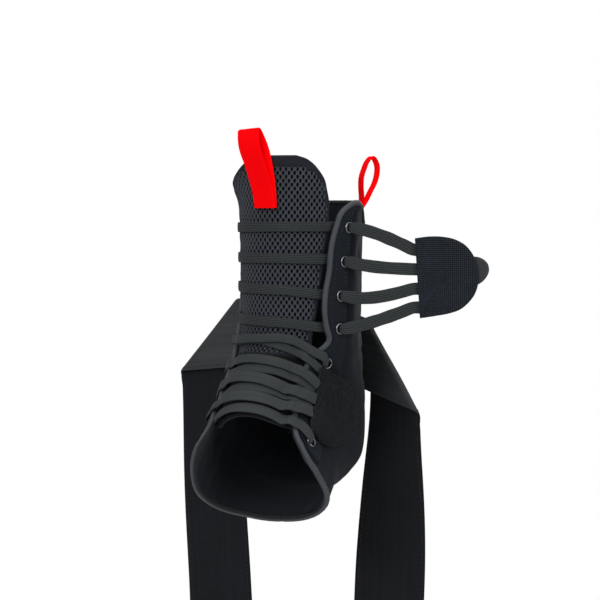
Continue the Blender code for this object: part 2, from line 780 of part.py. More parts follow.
def tab_frame():
    """Lower left corner of the open tab, its long direction and the way its face looks."""
    heading = math.radians(TAB_HEADING)
    along = np.array([math.cos(heading), math.sin(heading), 0.0])
    facing = np.array([math.sin(heading), -math.cos(heading), 0.0])
    corner = np.array([FORM_WIDTH, FORM_DEPTH, COLLAR_HEIGHT]) * TAB_CORNER
    return corner, along, facing


def upper_lace(row):
    record = dict(zip(UPPER_LACE_COLUMNS, row))
    name = record["name"]
    lace = Lace()
    start = medial_start(lace, record["medial"], name, 0.0)
    base, normal, along, hole_station, hole_angle = eyelet("lateral", name)
    step = float(angle_step(hole_station, hole_angle, BINDING_RADIUS))
    finish = hole_angle - 3.4 * step
    for angle in np.linspace(start, finish, 11)[1:]:
        places = (record["medial"], record["crown"], record["lateral"])
        lace.add_on_form(float(np.interp(math.degrees(angle), LACE_MARKS, places)), angle, ON_TONGUE)
    back = unit(np.cross(normal, along))
    if np.dot(back, on_form(hole_station, hole_angle + 0.2, 0.0) - base) < 0:
        back = -back
    low = ON_TONGUE - FLAP_LIFT - GAP / 2
    above = FLANGE_TOP + 0.75 * EYELET_BORE
    for sideways, height in ((-2.4, low), (-1.3, low), (-0.42, 0.5 * low), (-0.05, 0.25 * FLANGE_TOP),
                             (0.0, 0.6 * FLANGE_TOP), (0.05, FLANGE_TOP), (0.45, above)):
        lace.add(base + sideways * EYELET_BORE * back + height * normal, along)
    corner, along_tab, _ = tab_frame()
    end = corner - GAP * along_tab + np.array([0, 0, TAB_HEIGHT * record["tab_share"]])
    near = end - LACE_WIDTH / 2 * along_tab
    last = lace.points[-1]
    for share in (0.12, 0.35, 0.7, 1.0):
        lace.add(last + share * (near - last), np.array([0.0, 0.0, -1.0]))
    lace.add(end, np.array([0.0, 0.0, -1.0]))
    lace.build("upper_lace_" + name[-1], 50, LACE_THICKNESS, (lace.points[0], base))


def lower_lace(row):
    record = dict(zip(LOWER_LACE_COLUMNS, row))
    over = record["layer"] == "over"
    layer = LACE_LAYER if over else 0.0
    stations, angles = np.array(record["stations"]), np.radians(record["angles"])
    lace = Lace()
    holes = []
    if over:
        medial_start(lace, stations[0], "lower_" + record["name"][0], layer)
        holes.append(lace.points[0])
    else:
        edge = -float(throat_angle("medial", stations[0]))
        inside = edge + float(angle_step(stations[0], edge, 1.7 * BINDING_RADIUS))
        lace.add_on_form(stations[0], inside, ON_TONGUE)
    lateral_edge = float(throat_angle("lateral", stations[3]))
    side_step = float(angle_step(stations[3], lateral_edge, BINDING_RADIUS))
    finish = lateral_edge - 4.2 * side_step
    for angle in np.linspace(angles[0] if not over else angles[0] + 0.1, finish, 7)[1:]:
        lace.add_on_form(float(smooth_table(angle, angles, stations)), angle, ON_TONGUE + layer)
    outside = OVER_STAY + (2 * GAP if over else GAP)
    for shift, height in ((-2.3, 0.92 * OVER_BINDING), (0.0, OVER_BINDING), (1.7, outside)):
        angle = lateral_edge + shift * side_step
        lace.add_on_form(float(smooth_table(angle, angles, stations)), angle, height + layer)
    if record["eyelet"]:
        stretch = hole_stretch("lateral", record["eyelet"], lace.points[-2], 0.25 * WALL)
        for point, across in reversed(stretch[:-1]):
            lace.add(point, across)
        holes.append(lace.points[-1])
    else:
        lace.add_on_form(stations[3], angles[3], FLANGE_TOP + layer + LACE_THICKNESS / 2)
    lace.build("lower_lace_" + record["name"], 36 if over else 28, LACE_THICKNESS, holes)


def lower_tab():
    stations = column(PATCH_ROWS, PATCH_COLUMNS, "station")
    rows = np.linspace(stations[0], stations[-1], 13)[:, None]
    front = smooth_table(rows, stations, column(PATCH_ROWS, PATCH_COLUMNS, "front"))
    rear = smooth_table(rows, stations, column(PATCH_ROWS, PATCH_COLUMNS, "rear"))
    angle = np.radians(front + (rear - front) * np.linspace(0, 1, 8)[None, :])
    station = rows * np.ones((1, 8))
    low = FLANGE_TOP + GAP
    high = low + PATCH_PILE
    shell("lower_tab", on_form(station, angle, low), on_form(station, angle, high), pile_black())


def webbing_loop(name, rows, base_height, rise, opening, angles, skin, width, turn=0.0):
    """Red webbing folded into a loop and sewn on at its two ends; turn twists it above its base."""
    lace = Lace()
    for row in rows:
        record = dict(zip(LOOP_COLUMNS, row))
        angle = math.radians(angles[0] + (angles[1] - angles[0]) * record["rise"])
        point, normal, _, around = form_frame(tongue_station(base_height + record["rise"] * rise), angle)
        turned = math.radians(turn) * float(smoothstep(record["rise"], 0.12, 0.30))
        across = math.cos(turned) * unit(around) - math.sin(turned) * normal
        lace.add(point + (skin + record["stand_off"] * opening) * normal, across)
    points, across = np.array(lace.points), np.array(lace.across)
    marks = np.concatenate([[0], np.cumsum(np.linalg.norm(np.diff(points, axis=0), axis=1))])
    places = np.linspace(0, marks[-1], 34)
    path = np.stack([smooth_table(places, marks, points[:, k]) for k in range(3)], axis=1)
    hint = np.stack([smooth_table(places, marks, across[:, k]) for k in range(3)], axis=1)
    sweep(name, ribbon_loops(path, hint, width, LOOP_THICKNESS), webbing_red())


def pull_loops():
    webbing_loop("tongue_pull_loop", TONGUE_LOOP_ROWS, TONGUE_LOOP_BASE * TONGUE_TOP, TONGUE_LOOP_RISE,
                 TONGUE_LOOP_OPENING, TONGUE_LOOP_ANGLES, LOOP_THICKNESS / 2 + GAP / 2, LOOP_WIDTH)
    rear = (REAR_LOOP_ANGLE, REAR_LOOP_ANGLE)
    webbing_loop("rear_pull_loop", REAR_LOOP_ROWS, REAR_LOOP_BASE * COLLAR_HEIGHT, REAR_LOOP_RISE,
                 REAR_LOOP_OPENING, rear, 0.0, REAR_LOOP_WIDTH, REAR_LOOP_TURN)


def prism(name, outline, origin, right, facing, thickness, look):
    """Flat plate with the given outline in the plane of right and +Z."""
    up = np.array([0.0, 0.0, 1.0])
    back = np.array([origin + a * right + b * up for a, b in outline])
    return sweep(name, [back, back + thickness * facing], look)


def round_end(length, height, lower_share, upper_share, power, count):
    """Outline with a straight left edge and a blunt round right end, as two superellipse arcs."""
    turns = np.linspace(-math.pi / 2, math.pi / 2, count)
    points = [(0.0, 0.0)]
    for turn in turns:
        start = length * (1 - (lower_share if turn < 0 else upper_share))
        sideways = max(math.cos(turn), 0.0) ** (2 / power)
        upwards = math.copysign(abs(math.sin(turn)) ** (2 / power), turn)
        points.append((start + (length - start) * sideways, height / 2 * (1 + upwards)))
    points.append((0.0, height))
    return points


def upper_tab():
    corner, along, facing = tab_frame()
    prism("upper_tab", round_end(TAB_LENGTH, TAB_HEIGHT, 0.92, 0.60, 2.3, 15), corner, along, facing,
          TAB_THICKNESS, fabric_black())
    grip = corner + along * (TAB_LENGTH - GRIP_LENGTH) - facing * (GAP + GRIP_THICKNESS)
    grip = grip + np.array([0.0, 0.0, (TAB_HEIGHT - GRIP_HEIGHT) * GRIP_RISE_SHARE])
    prism("upper_tab_grip", round_end(2 * GRIP_LENGTH, GRIP_HEIGHT, 0.5, 0.5, 2.2, 9), grip, along, facing,
          GRIP_THICKNESS, grip_rubber())


def back_depth(height):
    """Y of the boot's back, over its seam tape, at a height."""
    station = np.linspace(-1.0, 0.35, 80)
    points = on_form(station, np.full(80, math.pi), WALL + 2 * GAP + TAPE)
    order = np.argsort(points[:, 2])
    return float(np.interp(height, points[order, 2], points[order, 1]))


class Strap:
    """A flat strap: its place for a length along it and a height across it."""

    def __init__(self, row):
        self.value = dict(zip(STRAP_COLUMNS, row))
        self.sign = sign_of(self.value["side"])
        self.droop = math.radians(self.value["droop"])
        low = self.value["root_rise"] - STRAP_WIDTH / 2
        depth = max(back_depth(low), back_depth(self.value["root_rise"])) + GAP + STRAP_THICKNESS / 2
        fine = np.linspace(-0.03, 0.25, 561)
        share = np.clip(fine / STRAP_TURN_LENGTH, 0, 1)
        root_heading = self.value["root_heading"]
        heading = np.radians(root_heading + (self.value["heading"] - root_heading) * share)
        step = fine[1] - fine[0]
        x = np.cumsum(np.cos(heading)) * step
        y = np.cumsum(np.sin(heading)) * step
        start = int(round(0.03 / step))
        self.fine, self.heading = fine, heading
        self.x, self.y = self.sign * (x - x[start]), depth + y - y[start]
        cos, sin = math.cos(self.droop), math.sin(self.droop)
        self.crease = np.array([cos, -1 - sin]) / math.hypot(1 + sin, cos)
        self.across_crease = np.array([-self.crease[1], self.crease[0]])
        crease_at = self.value["crease_at"]
        self.centre = np.array([crease_at, self.value["root_rise"] - crease_at * math.tan(self.droop)])
        self.to_crease = crease_at / cos

    def flat(self, length, across):
        """Unrolled place: distance round the boot and height."""
        cos, sin = math.cos(self.droop), math.sin(self.droop)
        height = self.value["root_rise"] - length * sin + across * cos
        return np.stack([length * cos + across * sin, height], axis=-1)

    def point(self, length, across):
        flat = self.flat(length, across) - self.centre
        along = flat @ self.crease
        beyond = flat @ self.across_crease
        half_turn = math.pi * FOLD_RADIUS
        on_fold = np.clip(beyond, 0, half_turn) / FOLD_RADIUS
        past = np.maximum(beyond - half_turn, 0)
        moved = np.where(beyond < 0, beyond, FOLD_RADIUS * np.sin(on_fold) - past)
        depth = np.where(beyond < 0, 0.0, FOLD_RADIUS * (1 - np.cos(on_fold)))
        flat = self.centre + along[..., None] * self.crease + moved[..., None] * self.across_crease
        sideways, height = flat[..., 0], flat[..., 1]
        hanging = smoothstep(beyond, half_turn, 2 * half_turn)
        drop = np.maximum(self.centre[1] - 0.3 * STRAP_WIDTH - height, 0.0) * hanging
        twist = math.radians(self.value["twist"]) * smoothstep(drop, 0.0, TWIST_LENGTH)
        offset = sideways - self.centre[0]
        slide = -math.tan(math.radians(self.value["lean"])) * drop
        heading = np.interp(sideways, self.fine, self.heading)
        plain = np.stack([np.interp(sideways, self.fine, self.x) - self.sign * np.sin(heading) * depth,
                          np.interp(sideways, self.fine, self.y) + np.cos(heading) * depth], axis=-1)
        axis_heading = np.radians(self.value["heading"])
        centre = np.array([np.interp(self.centre[0], self.fine, line) for line in (self.x, self.y)])
        behind = np.array([-self.sign * math.sin(axis_heading), math.cos(axis_heading)])
        right = np.array([self.sign * math.cos(axis_heading), math.sin(axis_heading)])
        square_on = np.array([-right[1], right[0]])
        turned = np.cos(twist)[..., None] * right + np.sin(twist)[..., None] * square_on
        hung = centre + offset[..., None] * turned + depth[..., None] * behind + slide[..., None] * right
        plan = np.where((drop > 0)[..., None], hung, plain)
        return np.concatenate([plan, height[..., None]], axis=-1)

    def rows(self):
        """Lengths of the cross lines, with how far each is slanted towards the crease."""
        ratio = self.across_crease
        slope = (ratio[0] * math.sin(self.droop) + ratio[1] * math.cos(self.droop))
        slope /= (ratio[0] * math.cos(self.droop) - ratio[1] * math.sin(self.droop))
        unit_length = 1 / (ratio[0] * math.cos(self.droop) - ratio[1] * math.sin(self.droop))
        half_turn = math.pi * FOLD_RADIUS
        lines = [(self.to_crease * share, math.tan(self.droop) + (slope - math.tan(self.droop)) * share)
                 for share in (0.0, 0.2, 0.4, 0.6, 0.8)]
        lines += [(self.to_crease + beyond * half_turn * unit_length, slope)
                  for beyond in (-0.3, 0.0, 0.2, 0.4, 0.6, 0.8, 1.0, 1.5)]
        start = lines[-1][0]
        for share in np.linspace(0, 1, 19)[1:]:
            lines.append((start + (STRAP_LENGTH - start) * share, slope * max(1 - 2.2 * share, 0.0)))
        return lines

    def grid(self, columns):
        across = STRAP_WIDTH / 2 * np.linspace(-1, 1, columns)[None, :]
        lines = np.array(self.rows())
        length = lines[:, :1] - lines[:, 1:] * across + GAP
        return length, across * np.ones_like(length)

    def sheet(self, length, across, low, high):
        step = 1e-5
        along = self.point(length + step, across) - self.point(length - step, across)
        side = self.point(length, across + step) - self.point(length, across - step)
        normal = unit(np.cross(along, side))
        middle = self.point(length, across)
        return middle + low * normal, middle + high * normal

    def build(self):
        length, across = self.grid(3)
        inner, outer = self.sheet(length, across, -STRAP_THICKNESS / 2, STRAP_THICKNESS / 2)
        shell(self.value["side"] + "_strap", inner, outer, strap_grey())
        length = STRAP_LENGTH - GAP - HOOK_PATCH_LENGTH * np.linspace(1, 0, 3)[:, None] * np.ones((1, 2))
        across = (STRAP_WIDTH / 2 - HOOK_PATCH_MARGIN) * np.linspace(-1, 1, 2)[None, :] * np.ones((3, 1))
        base = STRAP_THICKNESS / 2 + GAP
        top = base + HOOK_PATCH_THICKNESS
        inner, outer = self.sheet(length, across, self.sign * base, self.sign * top)
        shell(self.value["side"] + "_strap_hook_patch", inner, outer, pile_black())


def main():
    clear_scene()
    for side in ("lateral", "medial"):
        cutter = eyelet_cutter(side)
        quarter(side, cutter)
        eyestay(side, cutter)
        binding(side)
        eyelets(side)
    back_seam_tape()
    tongue()
    for row in UPPER_LACE_ROWS:
        upper_lace(row)
    for row in LOWER_LACE_ROWS:
        lower_lace(row)
    lower_tab()
    upper_tab()
    pull_loops()
    for row in STRAP_ROWS:
        Strap(row).build()


main()
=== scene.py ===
"""Looks of a lace-up ankle brace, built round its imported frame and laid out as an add-on.

Metres, +Z up the leg, toes along -Y, outer side of the left foot along +X.  Cloth pieces are
patches of one master form, the inner skin of the boot: a place on it is a station (-1 at the
collar, 0 at the instep, 1 at the toe opening) and an angle (0 at the front, positive to the
lateral side, 180 degrees at the back or sole).
"""

import math

import bmesh
import bpy
import numpy as np
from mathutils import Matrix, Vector


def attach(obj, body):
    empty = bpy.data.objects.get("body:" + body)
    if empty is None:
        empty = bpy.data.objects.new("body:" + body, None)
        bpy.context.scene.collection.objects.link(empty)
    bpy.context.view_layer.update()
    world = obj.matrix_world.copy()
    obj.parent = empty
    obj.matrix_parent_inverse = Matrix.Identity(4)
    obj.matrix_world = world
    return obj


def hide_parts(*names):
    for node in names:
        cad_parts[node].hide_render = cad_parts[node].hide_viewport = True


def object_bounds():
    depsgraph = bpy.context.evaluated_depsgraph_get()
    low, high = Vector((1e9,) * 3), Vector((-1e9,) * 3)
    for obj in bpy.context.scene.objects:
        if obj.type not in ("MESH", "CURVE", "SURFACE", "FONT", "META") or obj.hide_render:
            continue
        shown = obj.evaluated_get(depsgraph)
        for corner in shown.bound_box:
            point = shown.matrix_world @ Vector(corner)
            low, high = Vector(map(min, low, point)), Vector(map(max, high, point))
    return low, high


bl_info = {
    "name": "Lace-up ankle brace looks",
    "version": (1, 0, 0),
    "blender": (4, 5, 0),
    "location": "View3D > Sidebar > Brace",
    "description": "Builds the cloth, laces and trims of an ankle brace round its packed frame",
    "category": "Object",
}

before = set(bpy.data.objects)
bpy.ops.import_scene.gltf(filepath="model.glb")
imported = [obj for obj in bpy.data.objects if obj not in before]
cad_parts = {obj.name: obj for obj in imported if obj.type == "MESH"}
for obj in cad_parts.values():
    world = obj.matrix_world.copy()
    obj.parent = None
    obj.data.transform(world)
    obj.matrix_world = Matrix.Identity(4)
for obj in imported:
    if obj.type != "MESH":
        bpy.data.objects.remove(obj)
CAD_LOW, CAD_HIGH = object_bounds()

# Overall sizes, the same as the frame's
COLLAR_HEIGHT = 0.105
FORM_DEPTH = 0.087
FORM_WIDTH = 0.076
PIVOT_FORWARD = 0.085
PIVOT_RISE = 0.012
FULL_TURN = math.radians(84.0)

# Layers, from the skin outwards
GAP = 0.0003
WALL = 0.0024
FLAP_LIFT = 0.0022
STAY = 0.0012
BINDING_RADIUS = 0.0018
CORNER_CLEARANCE = 0.8
TOE_SLANT = 1.15
NOTCH_DEPTH = 0.015
NOTCH_ANGLE = 114.0
NOTCH_HALF_ANGLE = 15.0
NOTCH_SLANT = 1.55
COLLAR_TOP = -0.976
TAPE = 0.0008
TAPE_WIDTH = 0.016
TONGUE_PAD = 0.0040
TONGUE_MESH = 0.0010
PATCH_PILE = 0.0018
LACE_THICKNESS = 0.0012
LACE_NECK = 0.0030
EYELET_BORE = 0.0021
EYELET_FLANGE = 0.0035
FLANGE_THICKNESS = 0.0005
FLANGE_TOP = WALL + 2.6 * GAP + STAY + FLANGE_THICKNESS

# Tongue, loops, tab and straps
TONGUE_TOP = 0.132
REAR_LOOP_WIDTH = 0.010
LOOP_THICKNESS = 0.0010
REAR_LOOP_RISE = 0.0447
TAB_HEIGHT = 0.0515
TAB_LENGTH = 0.039
TAB_THICKNESS = 0.0022
GRIP_LENGTH = 0.0085
GRIP_HEIGHT = 0.019
GRIP_THICKNESS = 0.0016
GRIP_RISE_SHARE = 0.62
TAB_HEADING = 25.0
TAB_CORNER = (1.040, 0.0, 0.272)
LACE_MARKS = (-70.0, 10.0, 48.0)
STRAP_WIDTH = 0.046
STRAP_THICKNESS = 0.0012
STRAP_LENGTH = 0.360
FOLD_RADIUS = 0.0016
HOOK_PATCH_LENGTH = 0.050
HOOK_PATCH_THICKNESS = 0.0010
HOOK_PATCH_MARGIN = 0.002

# Sections of the form: the distances from the pivot to its front and back are shares of
# FORM_DEPTH, the half width and the sideways shift of the front are shares of FORM_WIDTH, egg
# widens the back over the front, and square is the superellipse power.
FORM_COLUMNS = ("station", "front", "back", "half_width", "egg", "square", "shift")
FORM_ROWS = (
    (-1.00, 0.477, 1.477, 0.500, 0.00, 2.0, 0.000),
    (-0.50, 0.483, 1.471, 0.487, 0.00, 2.0, 0.000),
    (0.00, 0.471, 1.483, 0.487, 0.00, 2.0, -0.013),
    (0.12, 0.460, 1.575, 0.493, 0.00, 2.0, -0.046),
    (0.25, 0.448, 1.724, 0.500, 0.02, 2.1, -0.092),
    (0.37, 0.448, 1.800, 0.490, 0.04, 2.2, -0.132),
    (0.46, 0.454, 1.655, 0.480, 0.08, 2.2, -0.145),
    (0.57, 0.460, 1.450, 0.480, 0.12, 2.2, -0.151),
    (0.71, 0.483, 1.380, 0.487, 0.18, 2.2, -0.151),
    (0.85, 0.506, 1.390, 0.493, 0.20, 2.3, -0.145),
    (1.00, 0.540, 1.420, 0.500, 0.20, 2.3, -0.132),
)

# Centre line of the throat binding: station and angle on each side.
THROAT_COLUMNS = ("station", "lateral", "medial")
THROAT_ROWS = (
    (-0.976, 78.0, 104.0),
    (-0.95, 69.5, 97.0),
    (-0.91, 62.0, 93.0),
    (-0.83, 57.0, 91.0),
    (-0.70, 52.0, 90.0),
    (-0.50, 49.5, 90.0),
    (-0.35, 46.0, 89.0),
    (-0.22, 45.5, 86.0),
    (-0.12, 48.0, 81.0),
    (-0.04, 51.0, 76.0),
    (0.03, 43.0, 70.0),
    (0.18, 36.5, 58.0),
    (0.34, 38.0, 50.0),
    (0.60, 48.0, 51.0),
    (0.78, 57.0, 52.0),
    (1.00, 66.0, 52.0),
)

# Centre line of the toe binding: the station it lies at for each angle.
TOE_COLUMNS = ("angle", "lateral", "medial")
TOE_ROWS = (
    (50.0, 0.77, 0.99),
    (60.0, 0.80, 0.98),
    (75.0, 0.85, 0.96),
    (92.0, 0.82, 0.93),
    (122.0, 0.77, 0.84),
    (150.0, 0.76, 0.78),
    (180.0, 0.76, 0.76),
)

# Rear edge of the eyestays, behind the throat.
STAY_COLUMNS = ("station", "lateral", "medial")
STAY_ROWS = (
    (-1.00, 88.0, 118.0),
    (-0.90, 74.0, 114.0),
    (-0.80, 71.5, 112.0),
    (-0.50, 68.0, 111.0),
    (-0.20, 66.0, 107.0),
    (0.00, 67.0, 95.0),
    (0.15, 67.0, 82.0),
    (0.35, 66.0, 74.0),
    (0.55, 76.0, 75.0),
    (0.75, 86.0, 76.0),
)

EYELET_COLUMNS = ("name", "lateral_station", "lateral", "medial_station", "medial")
EYELET_ROWS = (
    ("upper_1", -0.805, 67.0, -0.805, 103.0),
    ("upper_2", -0.575, 62.7, -0.600, 102.0),
    ("upper_3", -0.340, 59.2, -0.400, 101.5),
    ("upper_4", -0.125, 58.6, -0.195, 97.0),
    ("lower_1", 0.115, 51.5, -0.010, 84.5),
    ("lower_2", 0.345, 48.5, 0.165, 71.0),
    ("lower_3", 0.530, 58.0, 0.345, 64.0),
    ("lower_4", 0.735, 71.0, 0.575, 65.5),
)

# Where each upper lace crosses the tongue, from the medial to the lateral side, and where its
# far end meets the tab: share of the tab's height, from its bottom.
UPPER_LACE_COLUMNS = ("name", "medial", "crown", "lateral", "tab_share")
UPPER_LACE_ROWS = (
    ("upper_1", -0.805, -0.810, -0.810, 0.86),
    ("upper_2", -0.600, -0.597, -0.590, 0.62),
    ("upper_3", -0.400, -0.385, -0.350, 0.38),
    ("upper_4", -0.190, -0.165, -0.130, 0.15),
)

# Lower laces: each pair has a strand that lies over and one that lies under it.
# Stations and angles run from the medial edge to the lateral end.
LOWER_LACE_COLUMNS = ("name", "layer", "stations", "angles", "eyelet")
LOWER_LACE_ROWS = (
    ("1_over", "over", (-0.030, -0.055, -0.040, 0.060), (-62.0, -20.0, 22.0, 44.0), "lower_1"),
    ("1_under", "under", (-0.022, -0.040, 0.062, 0.170), (-62.0, -10.0, 28.0, 46.0), None),
    ("2_over", "over", (0.146, 0.140, 0.220, 0.288), (-45.0, -8.0, 32.0, 48.0), None),
    ("2_under", "under", (0.240, 0.235, 0.290, 0.320), (-43.0, 0.0, 34.0, 44.0), "lower_2"),
    ("3_over", "over", (0.335, 0.352, 0.415, 0.412), (-40.0, -4.0, 34.0, 52.0), None),
    ("3_under", "under", (0.460, 0.460, 0.480, 0.505), (-40.0, 10.0, 42.0, 54.0), "lower_3"),
    ("4_over", "over", (0.572, 0.598, 0.592, 0.555), (-42.0, 5.0, 44.0, 58.0), None),
    ("4_under", "under", (0.706, 0.728, 0.712, 0.690), (-42.0, 10.0, 46.0, 62.0), "lower_4"),
)

# Outline of the fuzzy patch on the lateral side.
PATCH_COLUMNS = ("station", "front", "rear")
PATCH_ROWS = (
    (0.155, 49.0, 58.0),
    (0.175, 49.5, 69.0),
    (0.215, 50.0, 79.0),
    (0.270, 51.5, 87.0),
    (0.340, 53.5, 92.0),
    (0.420, 57.5, 94.0),
    (0.500, 61.5, 94.0),
    (0.570, 64.0, 92.0),
    (0.630, 66.5, 87.0),
    (0.675, 70.0, 79.0),
)

# Tongue half widths as angles, from the top down, and how far its medial edge flares outwards.
TONGUE_COLUMNS = ("station", "lateral", "medial", "flare")
TONGUE_ROWS = (
    (-1.290, 21.0, 27.0, 0.0010),
    (-1.273, 29.0, 32.0, 0.0014),
    (-1.242, 36.5, 37.5, 0.0022),
    (-1.190, 43.5, 47.0, 0.0034),
    (-1.140, 48.5, 57.0, 0.0042),
    (-1.055, 52.0, 74.0, 0.0034),
    (-0.980, 54.0, 87.0, 0.0014),
    (-0.880, 54.0, 94.0, 0.0),
    (-0.600, 50.5, 97.0, 0.0),
    (-0.300, 44.0, 96.0, 0.0),
    (-0.080, 38.0, 86.0, 0.0),
    (0.150, 41.0, 68.0, 0.0),
    (0.350, 42.0, 58.0, 0.0),
    (0.600, 52.0, 58.0, 0.0),
    (0.840, 57.0, 60.0, 0.0),
)
MESH_SIDE_MARGIN = 0.0055
MESH_MEDIAL_LIMIT = 60.0
MESH_TOP_MARGIN = 0.0075
MESH_END_STATION = 0.045

# Route of the rear loop's webbing: the rise is a share of the loop's rise above its base, the
# stand-off a share of its opening, both measured from the surface that it is sewn on.
LOOP_COLUMNS = ("rise", "stand_off")
REAR_LOOP_ROWS = (
    (0.000, -0.182),
    (0.112, -0.187),
    (0.179, -0.155),
    (0.262, -0.033),
    (0.349, 0.089),
    (0.434, 0.096),
    (0.564, 0.067),
    (0.707, 0.089),
    (0.823, 0.207),
    (0.937, 0.370),
    (1.000, 0.593),
    (0.953, 0.733),
    (0.866, 0.837),
    (0.765, 0.830),
    (0.622, 0.711),
    (0.506, 0.519),
    (0.362, 0.281),
    (0.262, 0.081),
    (0.179, -0.052),
    (0.112, -0.094),
    (0.020, -0.090),
)
TONGUE_LOOP_BASE = 0.75
TONGUE_LOOP_ANGLE = -11.0
REAR_LOOP_BASE = 0.833
REAR_LOOP_ANGLE = 118.0
REAR_LOOP_TURN = 13.0
REAR_LOOP_OPENING = 0.0135

# Straps: the straight run's heading is measured from the sideways direction towards the back.
STRAP_COLUMNS = ("side", "root_rise", "root_heading", "heading", "droop", "crease_at", "twist", "lean")
STRAP_ROWS = (
    ("lateral", 0.0105, 12.0, -25.0, 14.5, 0.0475, 34.0, 2.6),
    ("medial", 0.0220, 0.0, 10.0, 5.6, 0.091, 12.0, 3.0),
)
STRAP_TURN_LENGTH = 0.026
TWIST_LENGTH = 0.150


def column(rows, columns, name):
    return np.array([row[columns.index(name)] for row in rows], dtype=float)


def smooth_table(x, xs, ys):
    """Cubic curve through the rows of a table, held at its ends."""
    x = np.clip(np.asarray(x, dtype=float), xs[0], xs[-1])
    i = np.clip(np.searchsorted(xs, x, side="right") - 1, 0, len(xs) - 2)
    step = xs[i + 1] - xs[i]
    u = (x - xs[i]) / step
    slope = np.gradient(ys, xs)
    return ((2 * u**3 - 3 * u**2 + 1) * ys[i] + (u**3 - 2 * u**2 + u) * step * slope[i]
            + (3 * u**2 - 2 * u**3) * ys[i + 1] + (u**3 - u**2) * step * slope[i + 1])


def smoothstep(x, low, high):
    u = np.clip((np.asarray(x, dtype=float) - low) / (high - low), 0.0, 1.0)
    return u * u * (3 - 2 * u)


FORM_STATIONS = column(FORM_ROWS, FORM_COLUMNS, "station")
FORM_TABLE = {name: column(FORM_ROWS, FORM_COLUMNS, name) for name in FORM_COLUMNS[1:]}


def form_base(station, angle):
    """Point of the inner skin; the angle is in radians."""
    value = {name: smooth_table(station, FORM_STATIONS, ys) for name, ys in FORM_TABLE.items()}
    cos, sin = np.cos(angle), np.sin(angle)
    power = 2.0 / value["square"]
    front, back = FORM_DEPTH * value["front"], FORM_DEPTH * value["back"]
    reach = (front + back) / 2 - (back - front) / 2 * np.sign(cos) * np.abs(cos) ** power
    across = np.sign(sin) * np.abs(sin) ** power * (1 - value["egg"] * cos) / (1 + value["egg"] ** 2 / 2)
    x = FORM_WIDTH * (value["shift"] * (1 + cos) / 2 + value["half_width"] * across)
    turn = FULL_TURN * np.maximum(station, 0.0)
    level = PIVOT_RISE + (COLLAR_HEIGHT - PIVOT_RISE) * np.maximum(-station, 0.0)
    return np.stack([x, -PIVOT_FORWARD + reach * np.cos(turn), level - reach * np.sin(turn)], axis=-1)


def form_frame(station, angle):
    """Point, outward normal and the steps per station and per radian."""
    station, angle = np.broadcast_arrays(np.asarray(station, float), np.asarray(angle, float))
    step = 1e-4
    along = (form_base(station + step, angle) - form_base(station - step, angle)) / (2 * step)
    around = (form_base(station, angle + step) - form_base(station, angle - step)) / (2 * step)
    normal = np.cross(along, around)
    normal /= np.linalg.norm(normal, axis=-1, keepdims=True)
    return form_base(station, angle), normal, along, around


def on_form(station, angle, offset):
    point, normal, _, _ = form_frame(station, angle)
    return point + normal * np.broadcast_to(offset, point.shape[:-1])[..., None]


def lift(station, angle):
    """How far the open lateral flap stands off the form."""
    degrees = np.degrees(angle)
    sideways = smoothstep(degrees, 20.0, 40.0) * (1 - smoothstep(degrees, 70.0, 105.0))
    return FLAP_LIFT * sideways * (1 - smoothstep(station, -0.10, 0.10))


def angle_step(station, angle, distance):
    """Angle that a distance along the section takes up."""
    _, _, _, around = form_frame(station, angle)
    return distance / np.linalg.norm(around, axis=-1)


def station_step(station, angle, distance):
    _, _, along, _ = form_frame(station, angle)
    return distance / np.linalg.norm(along, axis=-1)


def throat_angle(side, station):
    degrees = smooth_table(station, column(THROAT_ROWS, THROAT_COLUMNS, "station"),
                           column(THROAT_ROWS, THROAT_COLUMNS, side))
    return np.radians(degrees)


def collar_station(side, angle):
    """The collar is level but for a dip beside the rear loop."""
    if side == "medial":
        return np.full_like(np.asarray(angle, dtype=float), COLLAR_TOP)
    beside = (np.degrees(angle) - NOTCH_ANGLE) / NOTCH_HALF_ANGLE
    return COLLAR_TOP + NOTCH_DEPTH / (COLLAR_HEIGHT - PIVOT_RISE) * np.exp(-beside**2)


def toe_station(side, angle):
    return smooth_table(np.degrees(angle), column(TOE_ROWS, TOE_COLUMNS, "angle"),
                        column(TOE_ROWS, TOE_COLUMNS, side))


def unit(vector):
    return vector / np.linalg.norm(vector, axis=-1, keepdims=True)


def sign_of(side):
    return 1.0 if side == "lateral" else -1.0


def lift_of(side, station, angle):
    return lift(station, angle) if side == "lateral" else 0.0


def slant(side, station):
    """How much wider than square on the throat edge is cut by a section."""
    step = 0.01
    front = throat_angle(side, station)
    turn = (throat_angle(side, station + step) - throat_angle(side, station - step)) / (2 * step)
    _, _, along, around = form_frame(station, sign_of(side) * front)
    slope = turn * np.linalg.norm(around, axis=-1) / np.linalg.norm(along, axis=-1)
    return np.sqrt(1 + slope**2)


def eased(count):
    """Shares from 0 to 1, closer together towards both ends."""
    even = np.linspace(0, 1, count)
    return even - 0.09 * np.sin(2 * math.pi * even)


